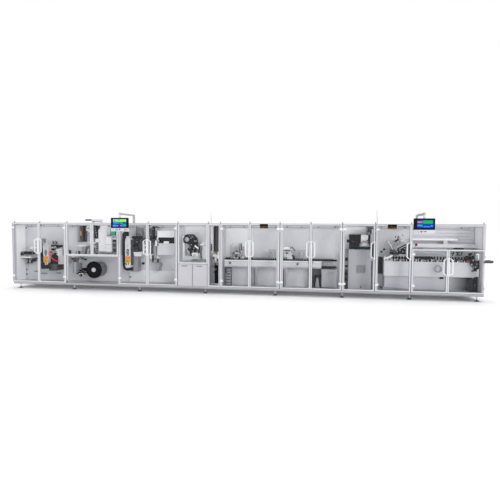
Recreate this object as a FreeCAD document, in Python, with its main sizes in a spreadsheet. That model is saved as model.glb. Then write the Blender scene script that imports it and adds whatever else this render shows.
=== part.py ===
import FreeCAD, Part
import Sketcher
import math
import os

os.makedirs("parts", exist_ok=True)
doc = FreeCAD.newDocument("cartoning_machine")
Vector = FreeCAD.Vector

# Sizes. Every driving size is a named cell of the sheet, in millimetres.

sheet = doc.addObject("Spreadsheet::Sheet", "size")
sheet.Label = "sizes"


class Term:
    """A length: the text that binds it to the sheet, and the number it stands for."""

    def __init__(self, text, value):
        self.text = text
        self.value = value

    def __add__(self, other):
        other = term(other)
        return Term(f"({self.text} + {other.text})", self.value + other.value)

    def __sub__(self, other):
        other = term(other)
        return Term(f"({self.text} - {other.text})", self.value - other.value)

    def __mul__(self, other):
        other = term(other)
        return Term(f"({self.text} * {other.text})", self.value * other.value)

    def __truediv__(self, other):
        other = term(other)
        return Term(f"({self.text} / {other.text})", self.value / other.value)

    def __radd__(self, other):
        return term(other) + self

    def __rsub__(self, other):
        return term(other) - self

    def __rmul__(self, other):
        return term(other) * self

    def __neg__(self):
        return Term(f"(0 - {self.text})", -self.value)


def term(value):
    """Give a number as a length, and leave a length as it is."""
    return value if isinstance(value, Term) else Term(repr(float(value)), float(value))


class Sizes:
    """The named cells of the sheet, each one read as a length."""

    def __init__(self):
        self.row = 1

    def add(self, alias, value):
        """Write one driving size to the sheet."""
        sheet.set(f"A{self.row}", alias)
        sheet.set(f"B{self.row}", str(value))
        sheet.setAlias(f"B{self.row}", alias)
        self.row += 1
        setattr(self, alias, Term(f"size.{alias}", float(value)))
        return getattr(self, alias)

    def derive(self, alias, length):
        """Write one size that follows from the others to the sheet."""
        sheet.set(f"A{self.row}", alias)
        sheet.set(f"B{self.row}", "=" + length.text.replace("size.", ""))
        sheet.setAlias(f"B{self.row}", alias)
        self.row += 1
        setattr(self, alias, Term(f"size.{alias}", length.value))
        return getattr(self, alias)


SIZES = {
    # Widths of the nine guarded bays, from the film end to the carton end.
    "bay_a_width": 1700,
    "bay_b_width": 1590,
    "bay_c_width": 1720,
    "bay_d_width": 855,
    "bay_e_width": 335,
    "bay_f_width": 3215,
    "bay_g_width": 820,
    "bay_h_width": 875,
    "bay_i_width": 1730,
    "outfeed_reach": 320,
    # Depth and height of the enclosure.
    "machine_depth": 1260,
    "hmi_reach": 975,
    "plate_depth": 600,
    "plate_thick": 12,
    "foot_height": 125,
    "base_height": 65,
    "pan_thick": 6,
    "guard_height": 1910,
    "rail": 60,
    "post": 60,
    "sheet_thick": 6,
    "wall_thick": 30,
    "module_gap": 10,
    # Levelling feet.
    "foot_pad_radius": 60,
    "foot_pad_height": 14,
    "foot_rod_radius": 14,
    "foot_neck_radius": 24,
    "foot_neck_height": 44,
    "foot_inset": 60,
    "foot_place_1": 191,
    "foot_place_2": 1892,
    "foot_place_3": 3882,
    "foot_place_4": 5774,
    "foot_place_5": 7686,
    "foot_place_6": 9432,
    "foot_place_7": 11102,
    "foot_place_8": 12703,
    # Guard doors.
    "leaf_thick": 30,
    "leaf_gap": 6,
    "stile": 34,
    "door_lift": 5,
    "door_drop": 15,
    "meet_gap": 8,
    "edge_gap": 12,
    "pane_thick": 6,
    "low_door_top": 1281,
    # Door hinges. The pin runs with a small play in the knuckle of the leaf.
    "pin_stand": 50,
    "pin_radius": 5,
    "pin_play": 0.05,
    "pin_rise": 4,
    "knuckle_radius": 9,
    "knuckle_height": 45,
    "knuckle_gap": 0.5,
    "knuckle_leaf": 60,
    "hinge_inset": 150,
    "bracket_thick": 5,
    "bracket_gap": 2,
    # Door handles: a flat loop with slanted ends beside the meeting stile.
    "handle_length": 470,
    "handle_reach": 108,
    "handle_slant": 62,
    "handle_bar": 22,
    "handle_thick": 16,
    "handle_stand": 34,
    "handle_foot": 24,
    "handle_inset": 2,
    "handle_height": 1005,
    "low_handle_height": 618,
    "button_plate_width": 62,
    "button_plate_thick": 12,
    "button_plate_drop": 90,
    # Film reel under the shelf of the second bay.
    "reel_left": 746,
    "reel_height": 563,
    "reel_radius": 218,
    "reel_flange_radius": 226,
    "reel_flange_thick": 12,
    "reel_front": 150,
    "reel_width": 350,
    "reel_shaft_radius": 25,
    "reel_shaft_play": 0.2,
    "reel_hub_radius": 60,
    "reel_hub_thick": 10,
    "reel_shaft_reach": 26,
    "reel_seat_gap": 30,
    "shelf_bottom": 959,
    "shelf_height": 30,
    # Operator panels on their hanging arms.
    "panel_width": 454,
    "panel_depth": 62,
    "panel_height": 262,
    "panel_drop": 80,
    "panel_edge": 8,
    "panel_recess": 3,
    "panel_cap": 14,
    "strip_height": 84,
    "button_reach": 16,
    "button_radius": 16,
    "arm_width": 42,
    "arm_height": 42,
    "arm_rise": 190,
    "arm_collar_radius": 24,
    "stem_radius": 14,
    "stem_play": 0.1,
    "arm_one_left": 500,
    "arm_two_left": 45,
    "arm_post": 42,
    "arm_one_crank": -60,
    "arm_two_crank": 75,
    # Signal masts on the roof.
    "mast_one_left": 81,
    "mast_two_left": 41,
    "mast_pole_radius": 12,
    "mast_pole_height": 165,
    "mast_light_radius": 22,
    "mast_light_height": 165,
    # Drive on the roof of the second bay: motor, gearbox and two feet.
    "roof_drive_left": 776,
    "roof_drive_inset": 8,
    "roof_drive_rise": 58,
    "roof_drive_height": 44,
    "roof_drive_width": 316,
    "roof_motor_radius": 20,
    "roof_motor_length": 200,
    "roof_foot": 24,
    # Openings and panels that stand by themselves.
    "window_height": 290,
    "guard_d_bottom": 810,
    "lift_panel_gap": 12,
    "window_margin": 20,
    "window_drop": 40,
    # Pitches of what repeats, and small sizes of the stations.
    "lug_pitch": 73,
    "link_pitch": 36,
    "louvre_pitch": 26,
    "vent_pitch": 20,
    "slot_pitch": 64,
    "lattice_pitch": 80,
    "pipe_bend": 269,
    "pipe_radius": 11,
    "pipe_left": 1030,
    "pipe_top": 1057,
    "pipe_front": 200,
    "bench_leg": 90,
    "bench_arm": 60,
    "chain_thick": 48,
    "folder_seat_inset": 20,
    "magazine_rail": 26,
    "press_eye_depth": 12,
    "press_head_inset": 10,
    "exit_shield_width": 62,
    "exit_shield_thick": 34,
    "exit_shield_inset": 12,
    # Envelope of each station: from the left edge of its bay, from the front of the posts
    # and from the floor, then its own sizes. One with no depth runs back to the plate,
    # and one with a drop ends that far under the roof rails.
    "outfeed_left": -100, "outfeed_front": 300, "outfeed_bottom": 916,
    "outfeed_width": 420, "outfeed_height": 90, "outfeed_depth": 180,
    "web_roller_left": 107, "web_roller_front": 261, "web_roller_bottom": 981,
    "web_roller_width": 361, "web_roller_height": 78,
    "web_table_left": 71, "web_table_front": 200, "web_table_bottom": 868,
    "web_table_width": 357, "web_table_height": 21,
    "web_clamp_left": 206, "web_clamp_front": 300, "web_clamp_bottom": 740,
    "web_clamp_width": 216, "web_clamp_height": 110,
    "web_guide_left": 321, "web_guide_front": 300, "web_guide_bottom": 1110,
    "web_guide_width": 114, "web_guide_height": 90,
    "form_lever_left": 684, "form_lever_front": 300, "form_lever_bottom": 538,
    "form_lever_width": 268, "form_lever_height": 385,
    "form_base_left": 959, "form_base_front": 300, "form_base_bottom": 514,
    "form_base_width": 291, "form_base_height": 177,
    "form_core_left": 960, "form_core_front": 300, "form_core_bottom": 700,
    "form_core_width": 232, "form_core_height": 260,
    "form_head_left": 960, "form_head_front": 350, "form_head_bottom": 1014,
    "form_head_width": 216, "form_head_height": 237,
    "form_air_left": 630, "form_air_front": 400, "form_air_bottom": 1238,
    "form_air_width": 140, "form_air_height": 224,
    "press_a_left": 860, "press_a_front": 150, "press_a_bottom": 711,
    "press_a_width": 152, "press_a_height": 564, "press_a_depth": 150,
    "press_c_left": 128, "press_c_front": 120, "press_c_bottom": 629,
    "press_c_width": 164, "press_c_height": 875, "press_c_depth": 230,
    "heater_left": 1267, "heater_front": 250, "heater_bottom": 697,
    "heater_width": 203, "heater_height": 264,
    "coding_panel_left": 67, "coding_panel_front": 450, "coding_panel_bottom": 1356,
    "coding_panel_width": 219, "coding_panel_drop": 14,
    "coding_hanger_left": 380, "coding_hanger_front": 350, "coding_hanger_bottom": 1261,
    "coding_hanger_width": 188, "coding_hanger_drop": 29,
    "coding_low_left": 144, "coding_low_front": 350, "coding_low_bottom": 1027,
    "coding_low_width": 409, "coding_low_height": 200,
    "coding_unit_left": 646, "coding_unit_front": 350, "coding_unit_bottom": 1499,
    "coding_unit_width": 236, "coding_unit_drop": 55,
    "coding_hood_left": 715, "coding_hood_front": 450, "coding_hood_bottom": 1149,
    "coding_hood_width": 437, "coding_hood_drop": 51, "coding_hood_depth": 10,
    "cabinet_b_left": 1060, "cabinet_b_front": 250, "cabinet_b_bottom": 1069,
    "cabinet_b_width": 195, "cabinet_b_height": 460,
    "louvre_b_left": 1260, "louvre_b_front": 300, "louvre_b_bottom": 1070,
    "louvre_b_width": 92, "louvre_b_height": 363,
    "screen_b_left": 1286, "screen_b_front": 100, "screen_b_bottom": 1560,
    "screen_b_width": 159, "screen_b_height": 212, "screen_b_depth": 24,
    "cabinet_c_left": 1013, "cabinet_c_front": 300, "cabinet_c_bottom": 1013,
    "cabinet_c_width": 506, "cabinet_c_height": 693,
    "cabinet_f_left": 2707, "cabinet_f_front": 300, "cabinet_f_bottom": 213,
    "cabinet_f_width": 394, "cabinet_f_height": 481,
    "unwind_left": 60, "unwind_front": 300, "unwind_bottom": 355,
    "unwind_width": 400, "unwind_height": 580,
    "seal_column_left": 188, "seal_column_front": 350, "seal_column_bottom": 520,
    "seal_column_width": 203, "seal_column_height": 441,
    "seal_unit_left": 204, "seal_unit_front": 350, "seal_unit_bottom": 1106,
    "seal_unit_width": 332, "seal_unit_height": 439,
    "seal_drive_left": 383, "seal_drive_front": 400, "seal_drive_bottom": 1546,
    "seal_drive_width": 170, "seal_drive_drop": 34,
    "seal_bowl_left": 326, "seal_bowl_front": 250, "seal_bowl_bottom": 967,
    "seal_bowl_width": 236, "seal_bowl_height": 105,
    "seal_guard_left": 34, "seal_guard_front": 300, "seal_guard_bottom": 1004,
    "seal_guard_width": 88, "seal_guard_height": 643,
    "punch_left": 747, "punch_front": 400, "punch_bottom": 775,
    "punch_width": 250, "punch_drop": 23,
    "punch_leg_left": 967, "punch_leg_front": 400, "punch_leg_bottom": 551,
    "punch_leg_width": 66, "punch_leg_height": 224,
    "feeder_left": 60, "feeder_front": 300, "feeder_bottom": 875,
    "feeder_width": 450, "feeder_height": 734,
    "feeder_box_left": 564, "feeder_box_front": 450, "feeder_box_bottom": 901,
    "feeder_box_width": 157, "feeder_box_height": 476,
    "web_tower_left": 50, "web_tower_front": 350, "web_tower_bottom": 240,
    "web_tower_width": 140, "web_tower_drop": 10,
    "web_tower_mech_left": 40, "web_tower_mech_front": 250, "web_tower_mech_bottom": 722,
    "web_tower_mech_width": 210, "web_tower_mech_height": 332, "web_tower_mech_depth": 100,
    "web_tower_slots_left": 34, "web_tower_slots_front": 300, "web_tower_slots_bottom": 1070,
    "web_tower_slots_width": 62, "web_tower_slots_drop": 20,
    "bench_left": 40, "bench_front": 350, "bench_bottom": 715,
    "bench_width": 2663, "bench_height": 217, "bench_depth": 100,
    "bench_lattice_left": 40, "bench_lattice_front": 360, "bench_lattice_bottom": 190,
    "bench_lattice_width": 200, "bench_lattice_height": 525, "bench_lattice_depth": 60,
    "bench_gate_left": 2425, "bench_gate_front": 350, "bench_gate_bottom": 190,
    "bench_gate_width": 274, "bench_gate_height": 525, "bench_gate_depth": 100,
    "chain_f_left": 40, "chain_f_front": 450, "chain_f_bottom": 720,
    "chain_f_width": 3060, "chain_f_height": 254, "chain_f_depth": 120,
    "chain_h_left": 270, "chain_h_front": 300, "chain_h_bottom": 949,
    "chain_h_width": 2080, "chain_h_height": 130, "chain_h_depth": 120,
    "hopper_left": 258, "hopper_front": 350, "hopper_bottom": 932,
    "hopper_width": 370, "hopper_height": 440, "hopper_depth": 100,
    "printer_left": 1686, "printer_front": 350, "printer_bottom": 932,
    "printer_width": 309, "printer_height": 370, "printer_depth": 100,
    "frame_left_left": 1271, "frame_left_front": 360, "frame_left_bottom": 932,
    "frame_left_width": 219, "frame_left_height": 280, "frame_left_depth": 80,
    "frame_right_left": 2059, "frame_right_front": 360, "frame_right_bottom": 932,
    "frame_right_width": 216, "frame_right_height": 280, "frame_right_depth": 80,
    "folder_left": 187, "folder_front": 250, "folder_bottom": 190,
    "folder_width": 567, "folder_height": 1054,
    "folder_side_left": 84, "folder_side_front": 400, "folder_side_bottom": 190,
    "folder_side_width": 100, "folder_side_height": 1031,
    "folder_unit_left": 215, "folder_unit_front": 350, "folder_unit_bottom": 1259,
    "folder_unit_width": 540, "folder_unit_height": 381,
    "folder_funnel_left": 457, "folder_funnel_front": 250, "folder_funnel_bottom": 1269,
    "folder_funnel_width": 264, "folder_funnel_height": 370, "folder_funnel_depth": 100,
    "folder_vent_left": 393, "folder_vent_front": 242, "folder_vent_bottom": 632,
    "folder_vent_width": 218, "folder_vent_height": 202, "folder_vent_depth": 8,
    "folder_top_left": 664, "folder_top_front": 350, "folder_top_drop": 10,
    "folder_top_width": 120, "folder_top_height": 200,
    "cartoner_left": 265, "cartoner_front": 250, "cartoner_bottom": 570,
    "cartoner_width": 2226, "cartoner_height": 379,
    "cartoner_base_left": 300, "cartoner_base_front": 330, "cartoner_base_bottom": 190,
    "cartoner_base_width": 2160, "cartoner_base_height": 380,
    "cartoner_chain_left": 165, "cartoner_chain_front": 400, "cartoner_chain_bottom": 607,
    "cartoner_chain_width": 100, "cartoner_chain_height": 440,
    "cartoner_ring_left": 1466, "cartoner_ring_front": 205, "cartoner_ring_bottom": 685,
    "cartoner_ring_width": 200, "cartoner_ring_height": 200, "cartoner_ring_depth": 38,
    "cartoner_exit_left": 1485, "cartoner_exit_front": 300, "cartoner_exit_bottom": 949,
    "cartoner_exit_width": 135, "cartoner_exit_height": 200,
    "magazine_pick_left": 460, "magazine_pick_front": 350, "magazine_pick_bottom": 1095,
    "magazine_pick_width": 240, "magazine_pick_height": 240,
    "magazine_left": 505, "magazine_front": 350, "magazine_bottom": 1223,
    "magazine_width": 337, "magazine_height": 434,
    "top_belt_high_left": 120, "top_belt_high_front": 450, "top_belt_high_bottom": 1498,
    "top_belt_high_width": 1113, "top_belt_high_height": 49,
    "top_belt_low_left": 110, "top_belt_low_front": 400, "top_belt_low_bottom": 1313,
    "top_belt_low_width": 1590, "top_belt_low_height": 119,
}

d = Sizes()
for alias, value in SIZES.items():
    d.add(alias, value)

bays = [getattr(d, f"bay_{letter}_width") for letter in "abcdefghi"]
d.derive("line_length", sum(bays[1:], bays[0]))
# The frame's origin is under the middle of the whole: half the length with the
# outfeed, and half the depth with the operator panels.
edge = [d.derive("edge_0", -(d.line_length + d.outfeed_reach) / 2)]
for number, width in enumerate(bays, 1):
    edge.append(d.derive(f"edge_{number}", edge[-1] + width))
d.derive("front", (d.hmi_reach - d.machine_depth) / 2)
d.derive("rear", d.front + d.machine_depth)
d.derive("plate_y", d.front + d.plate_depth)
d.derive("base_top", d.foot_height + d.base_height)
d.derive("post_top", d.guard_height - d.rail)
d.derive("arm_bottom", d.guard_height + d.arm_rise)
d.derive("panel_top", d.arm_bottom - d.panel_drop)


def over_flats(sides):
    """Corner radius of a bar with flat sides for each unit from its middle to a flat."""
    return 1 / math.cos(math.pi / sides)


PIN_SIDES, STEM_SIDES = 6, 12
# The flats of each bore clear what turns in it by its play.
d.derive("bore_radius", (d.pin_radius + d.pin_play) * over_flats(PIN_SIDES))
d.derive("stem_bore_radius", (d.stem_radius + d.stem_play) * over_flats(STEM_SIDES))
d.derive("leaf_front", d.front - d.leaf_gap - d.leaf_thick)
d.derive("pin_y", d.front - d.pin_stand)
d.derive("door_bottom", d.base_top + d.door_lift)
d.derive("door_top", d.guard_height - d.door_drop)
d.derive("middle_a", (edge[0] + edge[1]) / 2)
d.derive("middle_b", (edge[1] + edge[2]) / 2)
d.derive("middle_c", (edge[2] + edge[3]) / 2)
d.derive("middle_f", (edge[5] + edge[6]) / 2)
d.derive("quarter_f", (edge[5] + d.middle_f) / 2)
d.derive("three_quarter_f", (d.middle_f + edge[6]) / 2)
d.derive("middle_i", (edge[8] + edge[9]) / 2)
doc.recompute()


# Shapes.

def bind(thing, **lengths):
    """Bind the named properties of a document object to lengths."""
    for prop, length in lengths.items():
        thing.setExpression(prop.replace("_", "."), term(length).text)
    return thing


def place(thing, at, rotation=None):
    """Put a document object at a bound place."""
    thing.Placement = FreeCAD.Placement(Vector(), rotation or FreeCAD.Rotation())
    for axis, length in zip("xyz", at):
        thing.setExpression(f"Placement.Base.{axis}", term(length).text)
    return thing


def named(kind, name):
    """Add a document object with its own label."""
    thing = doc.addObject(kind, name)
    thing.Label = name
    return thing


def block(name, at, size):
    """A box from its low corner and its three sizes."""
    thing = bind(named("Part::Box", name), Length=size[0], Width=size[1], Height=size[2])
    return place(thing, at)


TURNS = {"x": FreeCAD.Rotation(Vector(0, 1, 0), 90),
         "y": FreeCAD.Rotation(Vector(1, 0, 0), -90),
         "z": FreeCAD.Rotation()}


def rod(name, at, radius, length, axis="z"):
    """A cylinder that starts at a place and runs up along one axis."""
    thing = bind(named("Part::Cylinder", name), Radius=radius, Height=length)
    return place(thing, at, TURNS[axis])


def prism(name, at, radius, length, sides, axis="z"):
    """A round bar with a few flat sides, for the small pieces that repeat."""
    thing = named("Part::Prism", name)
    thing.Polygon = sides
    bind(thing, Circumradius=radius, Height=length)
    return place(thing, at, TURNS[axis])


def role(body, name):
    """The origin plane or axis of a body by its role."""
    return [feature for feature in body.Origin.OriginFeatures if feature.Role == name][0]


def profile(name, at, points, depth):
    """An outline in the upright plane, padded to the rear."""
    body = named("PartDesign::Body", name)
    sketch = body.newObject("Sketcher::SketchObject", f"{name}_outline")
    sketch.AttachmentSupport = (role(body, "XZ_Plane"), [""])
    sketch.MapMode = "FlatFace"
    corners = [Vector(x.value, z.value, 0) for x, z in points]
    for number, corner in enumerate(corners):
        following = corners[(number + 1) % len(corners)]
        sketch.addGeometry(Part.LineSegment(corner, following), False)
    for number in range(len(corners)):
        sketch.addConstraint(Sketcher.Constraint("Coincident", number, 2,
                                                 (number + 1) % len(corners), 1))
    for number, corner in enumerate(points):
        for kind, axis, length in (("DistanceX", -2, corner[0]), ("DistanceY", -1, corner[1])):
            if length.value == 0:
                sketch.addConstraint(Sketcher.Constraint("PointOnObject", number, 1, axis))
                continue
            index = sketch.addConstraint(
                Sketcher.Constraint(kind, -1, 1, number, 1, length.value))
            sketch.renameConstraint(index, f"{kind}_{number}")
            sketch.setExpression(f"Constraints.{kind}_{number}", length.text)
    pad = body.newObject("PartDesign::Pad", f"{name}_pad")
    pad.Profile = sketch
    pad.Reversed = True
    bind(pad, Length=depth)
    return place(body, at)


def fuse(name, parts):
    """One object of several that touch or stand apart."""
    thing = named("Part::MultiFuse", name)
    thing.Shapes = parts
    thing.Refine = False
    return thing


def cut(name, base, tools):
    """One object with others taken out of it."""
    thing = named("Part::Cut", name)
    thing.Base = base
    thing.Tool = tools[0] if len(tools) == 1 else fuse(name + "_tools", tools)
    return thing


nodes = {}


def node(name, parts):
    """Keep one finished node of the part."""
    nodes[name] = parts[0] if len(parts) == 1 else fuse(name, parts)
    nodes[name].Label = name
    return nodes[name]


class Site:
    """The envelope of one station; its pieces are given as shares of it."""

    def __init__(self, name, base):
        self.name = name
        self.x = base + getattr(d, f"{name}_left")
        self.y = d.front + getattr(d, f"{name}_front")
        self.w = getattr(d, f"{name}_width")
        drop = getattr(d, f"{name}_drop", None)
        if drop is None:
            self.z, self.h = getattr(d, f"{name}_bottom"), getattr(d, f"{name}_height")
        elif hasattr(d, f"{name}_bottom"):
            self.z = getattr(d, f"{name}_bottom")
            self.h = d.post_top - drop - self.z
        else:
            self.h = getattr(d, f"{name}_height")
            self.z = d.post_top - drop - self.h
        self.d = getattr(d, f"{name}_depth", None) or d.plate_y - self.y

    def at(self, x, y, z):
        """A place inside the envelope, by shares."""
        return (self.x + self.w * x, self.y + self.d * y, self.z + self.h * z)

    def block(self, name, x=(0, 1), y=(0, 1), z=(0, 1)):
        """A box inside the envelope, by shares."""
        size = (self.w * (x[1] - x[0]), self.d * (y[1] - y[0]), self.h * (z[1] - z[0]))
        return block(f"{self.name}_{name}", self.at(x[0], y[0], z[0]), size)

    def rod(self, name, at, radius, length, axis="z"):
        """A cylinder inside the envelope: place and length by shares of it, and the
        radius by a share of its width."""
        along = {"x": self.w, "y": self.d, "z": self.h}[axis]
        return rod(f"{self.name}_{name}", self.at(*at), self.w * radius, along * length, axis)

    def prism(self, name, at, radius, length, axis, sides):
        """A bar with flat sides inside the envelope, given as a cylinder is."""
        along = {"x": self.w, "y": self.d, "z": self.h}[axis]
        return prism(f"{self.name}_{name}", self.at(*at), self.w * radius, along * length, sides, axis)

    def profile(self, name, points, y=(0, 1)):
        """An upright outline inside the envelope, by shares of its width and height."""
        outline = [(self.w * across, self.h * up) for across, up in points]
        return profile(f"{self.name}_{name}", self.at(0, y[0], 0), outline, self.d * (y[1] - y[0]))

    def row(self, name, pitch, fill, axis, slab, tooth, cuts=False):
        """A slab with a row of equal teeth or slots at one pitch. Both are boxes by
        shares; along the row a tooth takes its fill of the pitch."""
        body = named("PartDesign::Body", f"{self.name}_{name}")
        spans = (self.w, self.d, self.h)
        along = "xyz".index(axis)
        boxes = []
        for kind, label, shares in (("PartDesign::AdditiveBox", "slab", slab),
                                    ("PartDesign::SubtractiveBox" if cuts else
                                     "PartDesign::AdditiveBox", "tooth", tooth)):
            box = body.newObject(kind, f"{self.name}_{name}_{label}")
            at = [span * share[0] for span, share in zip(spans, shares)]
            size = [span * (share[1] - share[0]) for span, share in zip(spans, shares)]
            if label == "tooth":
                at[along], size[along] = pitch * (1 - fill) / 2, pitch * fill
            place(bind(box, Length=size[0], Width=size[1], Height=size[2]), at)
            boxes.append(box)
        count = f"floor({(spans[along] / pitch).text})"
        pattern = body.newObject("PartDesign::LinearPattern", f"{self.name}_{name}_row")
        pattern.Originals = [boxes[1]]
        pattern.Direction = (role(body, f"{axis.upper()}_Axis"), [""])
        pattern.setExpression("Occurrences", count)
        pattern.setExpression("Length", f"{pitch.text} * ({count} - 1)")
        body.Tip = pattern
        return place(body, self.at(0, 0, 0))


# Base frame, floor pan and levelling feet.

posts_x = [edge[0]] + [place_x - d.post / 2 for place_x in edge[1:9]] + [edge[9] - d.post]
extra_x = d.middle_f - d.post / 2


def base_frame():
    """Long beams, cross beams and the floor pan of the line."""
    z = d.foot_height
    parts = [block("base_beam_front", (edge[0], d.front, z), (d.line_length, d.post, d.base_height)),
             block("base_beam_rear", (edge[0], d.rear - d.post, z),
                   (d.line_length, d.post, d.base_height)),
             block("base_pan", (edge[0], d.front + d.post, d.base_top - d.pan_thick),
                   (d.line_length, d.machine_depth - 2 * d.post, d.pan_thick))]
    for number, x in enumerate(posts_x + [extra_x]):
        parts.append(block(f"base_cross_{number}", (x, d.front + d.post, z),
                           (d.post, d.machine_depth - 2 * d.post, d.base_height)))
    node("base_frame", parts)


def levelling_foot():
    """One foot: pad, neck and threaded rod."""
    return fuse("levelling_foot", [
        prism("foot_pad", (0, 0, 0), d.foot_pad_radius, d.foot_pad_height, 12),
        prism("foot_neck", (0, 0, d.foot_pad_height), d.foot_neck_radius,
              d.foot_neck_height - d.foot_pad_height, 6),
        prism("foot_rod", (0, 0, d.foot_neck_height), d.foot_rod_radius,
              d.foot_height - d.foot_neck_height, 6)])


def levelling_feet():
    """Two rows of feet under the cross beams."""
    master = levelling_foot()
    copies = named("Part::Compound", "levelling_feet")
    links = []
    for index in range(1, 9):
        for row, y in (("front", d.front + d.foot_inset), ("rear", d.rear - d.foot_inset)):
            link = named("App::Link", f"levelling_foot_{row}_{index}")
            link.LinkedObject = master
            place(link, (edge[0] + getattr(d, f"foot_place_{index}"), y, 0))
            links.append(link)
    copies.Links = links
    nodes["levelling_feet"] = copies


def guard_posts():
    """Posts of the enclosure, front and rear."""
    parts = []
    for number, x in enumerate(posts_x + [extra_x]):
        for row, y in (("front", d.front), ("rear", d.rear - d.post)):
            parts.append(block(f"guard_post_{row}_{number}", (x, y, d.base_top),
                               (d.post, d.post, d.post_top - d.base_top)))
    node("guard_posts", parts)


def top_frame():
    """Rails and cross rails on the posts."""
    parts = []
    for row, y in (("front", d.front), ("rear", d.rear - d.post)):
        parts.append(block(f"top_rail_{row}", (edge[0], y, d.post_top),
                           (d.line_length, d.post, d.rail)))
    for number, x in enumerate(posts_x + [extra_x]):
        parts.append(block(f"top_cross_{number}", (x, d.front + d.post, d.post_top),
                           (d.post, d.machine_depth - 2 * d.post, d.rail)))
    node("top_frame", parts)


def end_walls():
    """Closed walls at both ends; the right one has the outfeed window."""
    size = (d.wall_thick, d.machine_depth - 2 * d.post, d.post_top - d.base_top)
    left = block("end_wall_left", (edge[0], d.front + d.post, d.base_top), size)
    right = block("end_wall_right_sheet", (edge[9] - d.wall_thick, d.front + d.post, d.base_top), size)
    window = block("outfeed_window", (edge[9] - 2 * d.wall_thick, outfeed.y - d.window_margin,
                                     outfeed.z - d.window_drop),
                   (4 * d.wall_thick, outfeed.d + 2 * d.window_margin, d.window_height))
    node("end_walls", [left, cut("end_wall_right", right, [window])])


def rear_panels():
    """Closed panels between the rear posts."""
    parts = []
    starts = [edge[0] + d.post] + [x + d.post / 2 for x in edge[1:6]] + \
        [d.middle_f + d.post / 2] + [x + d.post / 2 for x in edge[6:9]]
    ends = [x - d.post / 2 for x in edge[1:6]] + [d.middle_f - d.post / 2] + \
        [x - d.post / 2 for x in edge[6:9]] + [edge[9] - d.post]
    for number, (start, end) in enumerate(zip(starts, ends)):
        parts.append(block(f"rear_panel_{number}", (start, d.rear - d.wall_thick, d.base_top),
                           (end - start, d.wall_thick, d.post_top - d.base_top)))
    node("rear_panels", parts)


def mounting_plate():
    """Upright plates behind the stations, one for each module of the line."""
    parts = []
    spans = [(edge[0] + d.wall_thick, edge[2]), (edge[2], edge[5]), (edge[5], edge[6]),
             (edge[6], edge[9] - d.wall_thick)]
    for number, (start, end) in enumerate(spans):
        low = start if number == 0 else start + d.module_gap / 2
        high = end if number == 3 else end - d.module_gap / 2
        parts.append(block(f"mounting_plate_{number}", (low, d.plate_y, d.base_top),
                           (high - low, d.plate_thick, d.post_top - d.base_top)))
    node("mounting_plate", parts)


# Guard doors.

def hinge_levels(bottom, top):
    """Low ends of the two knuckles of a leaf."""
    return [bottom + d.hinge_inset, top - d.hinge_inset]


def handle(name, stile_x, inward, low):
    """A flat loop from the free edge of a leaf, on two feet; inward is +1 where the loop
    runs to the right of that edge and -1 where it runs to the left."""
    if inward > 0:
        turn = FreeCAD.Rotation(Vector(0, 0, 1), Vector(1, 0, 0), Vector(0, 1, 0), "XYZ")
        y = d.leaf_front - d.handle_stand - d.handle_thick
    else:
        turn = FreeCAD.Rotation(Vector(0, 0, 1), Vector(-1, 0, 0), Vector(0, -1, 0), "XYZ")
        y = d.leaf_front - d.handle_stand
    loops = []
    for label, shrink, over in (("outer", term(0), 0), ("inner", d.handle_bar, 1)):
        wedge = named("Part::Wedge", f"{name}_{label}")
        slant = d.handle_slant
        bind(wedge, Xmin=shrink * 0.9 + 1 * over, Xmax=d.handle_length - shrink * 0.9 - 1 * over,
             Ymin=shrink, Ymax=d.handle_reach - shrink,
             Zmin=term(-over), Zmax=d.handle_thick + over,
             Z2min=term(-over), Z2max=d.handle_thick + over,
             X2min=slant + shrink * 0.7, X2max=d.handle_length - slant - shrink * 0.7)
        loops.append(place(wedge, (stile_x, y, low), turn))
    loop = cut(f"{name}_loop", loops[0], [loops[1]])
    parts = [loop]
    for number, share in enumerate((0.04, 0.96)):
        z = low + d.handle_length * share - d.handle_foot / 2
        x = stile_x if inward > 0 else stile_x - d.handle_foot
        parts.append(block(f"{name}_foot_{number}", (x, d.leaf_front - d.handle_stand - 2, z),
                           (d.handle_foot, d.handle_stand + 2, d.handle_foot)))
    return parts


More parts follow.
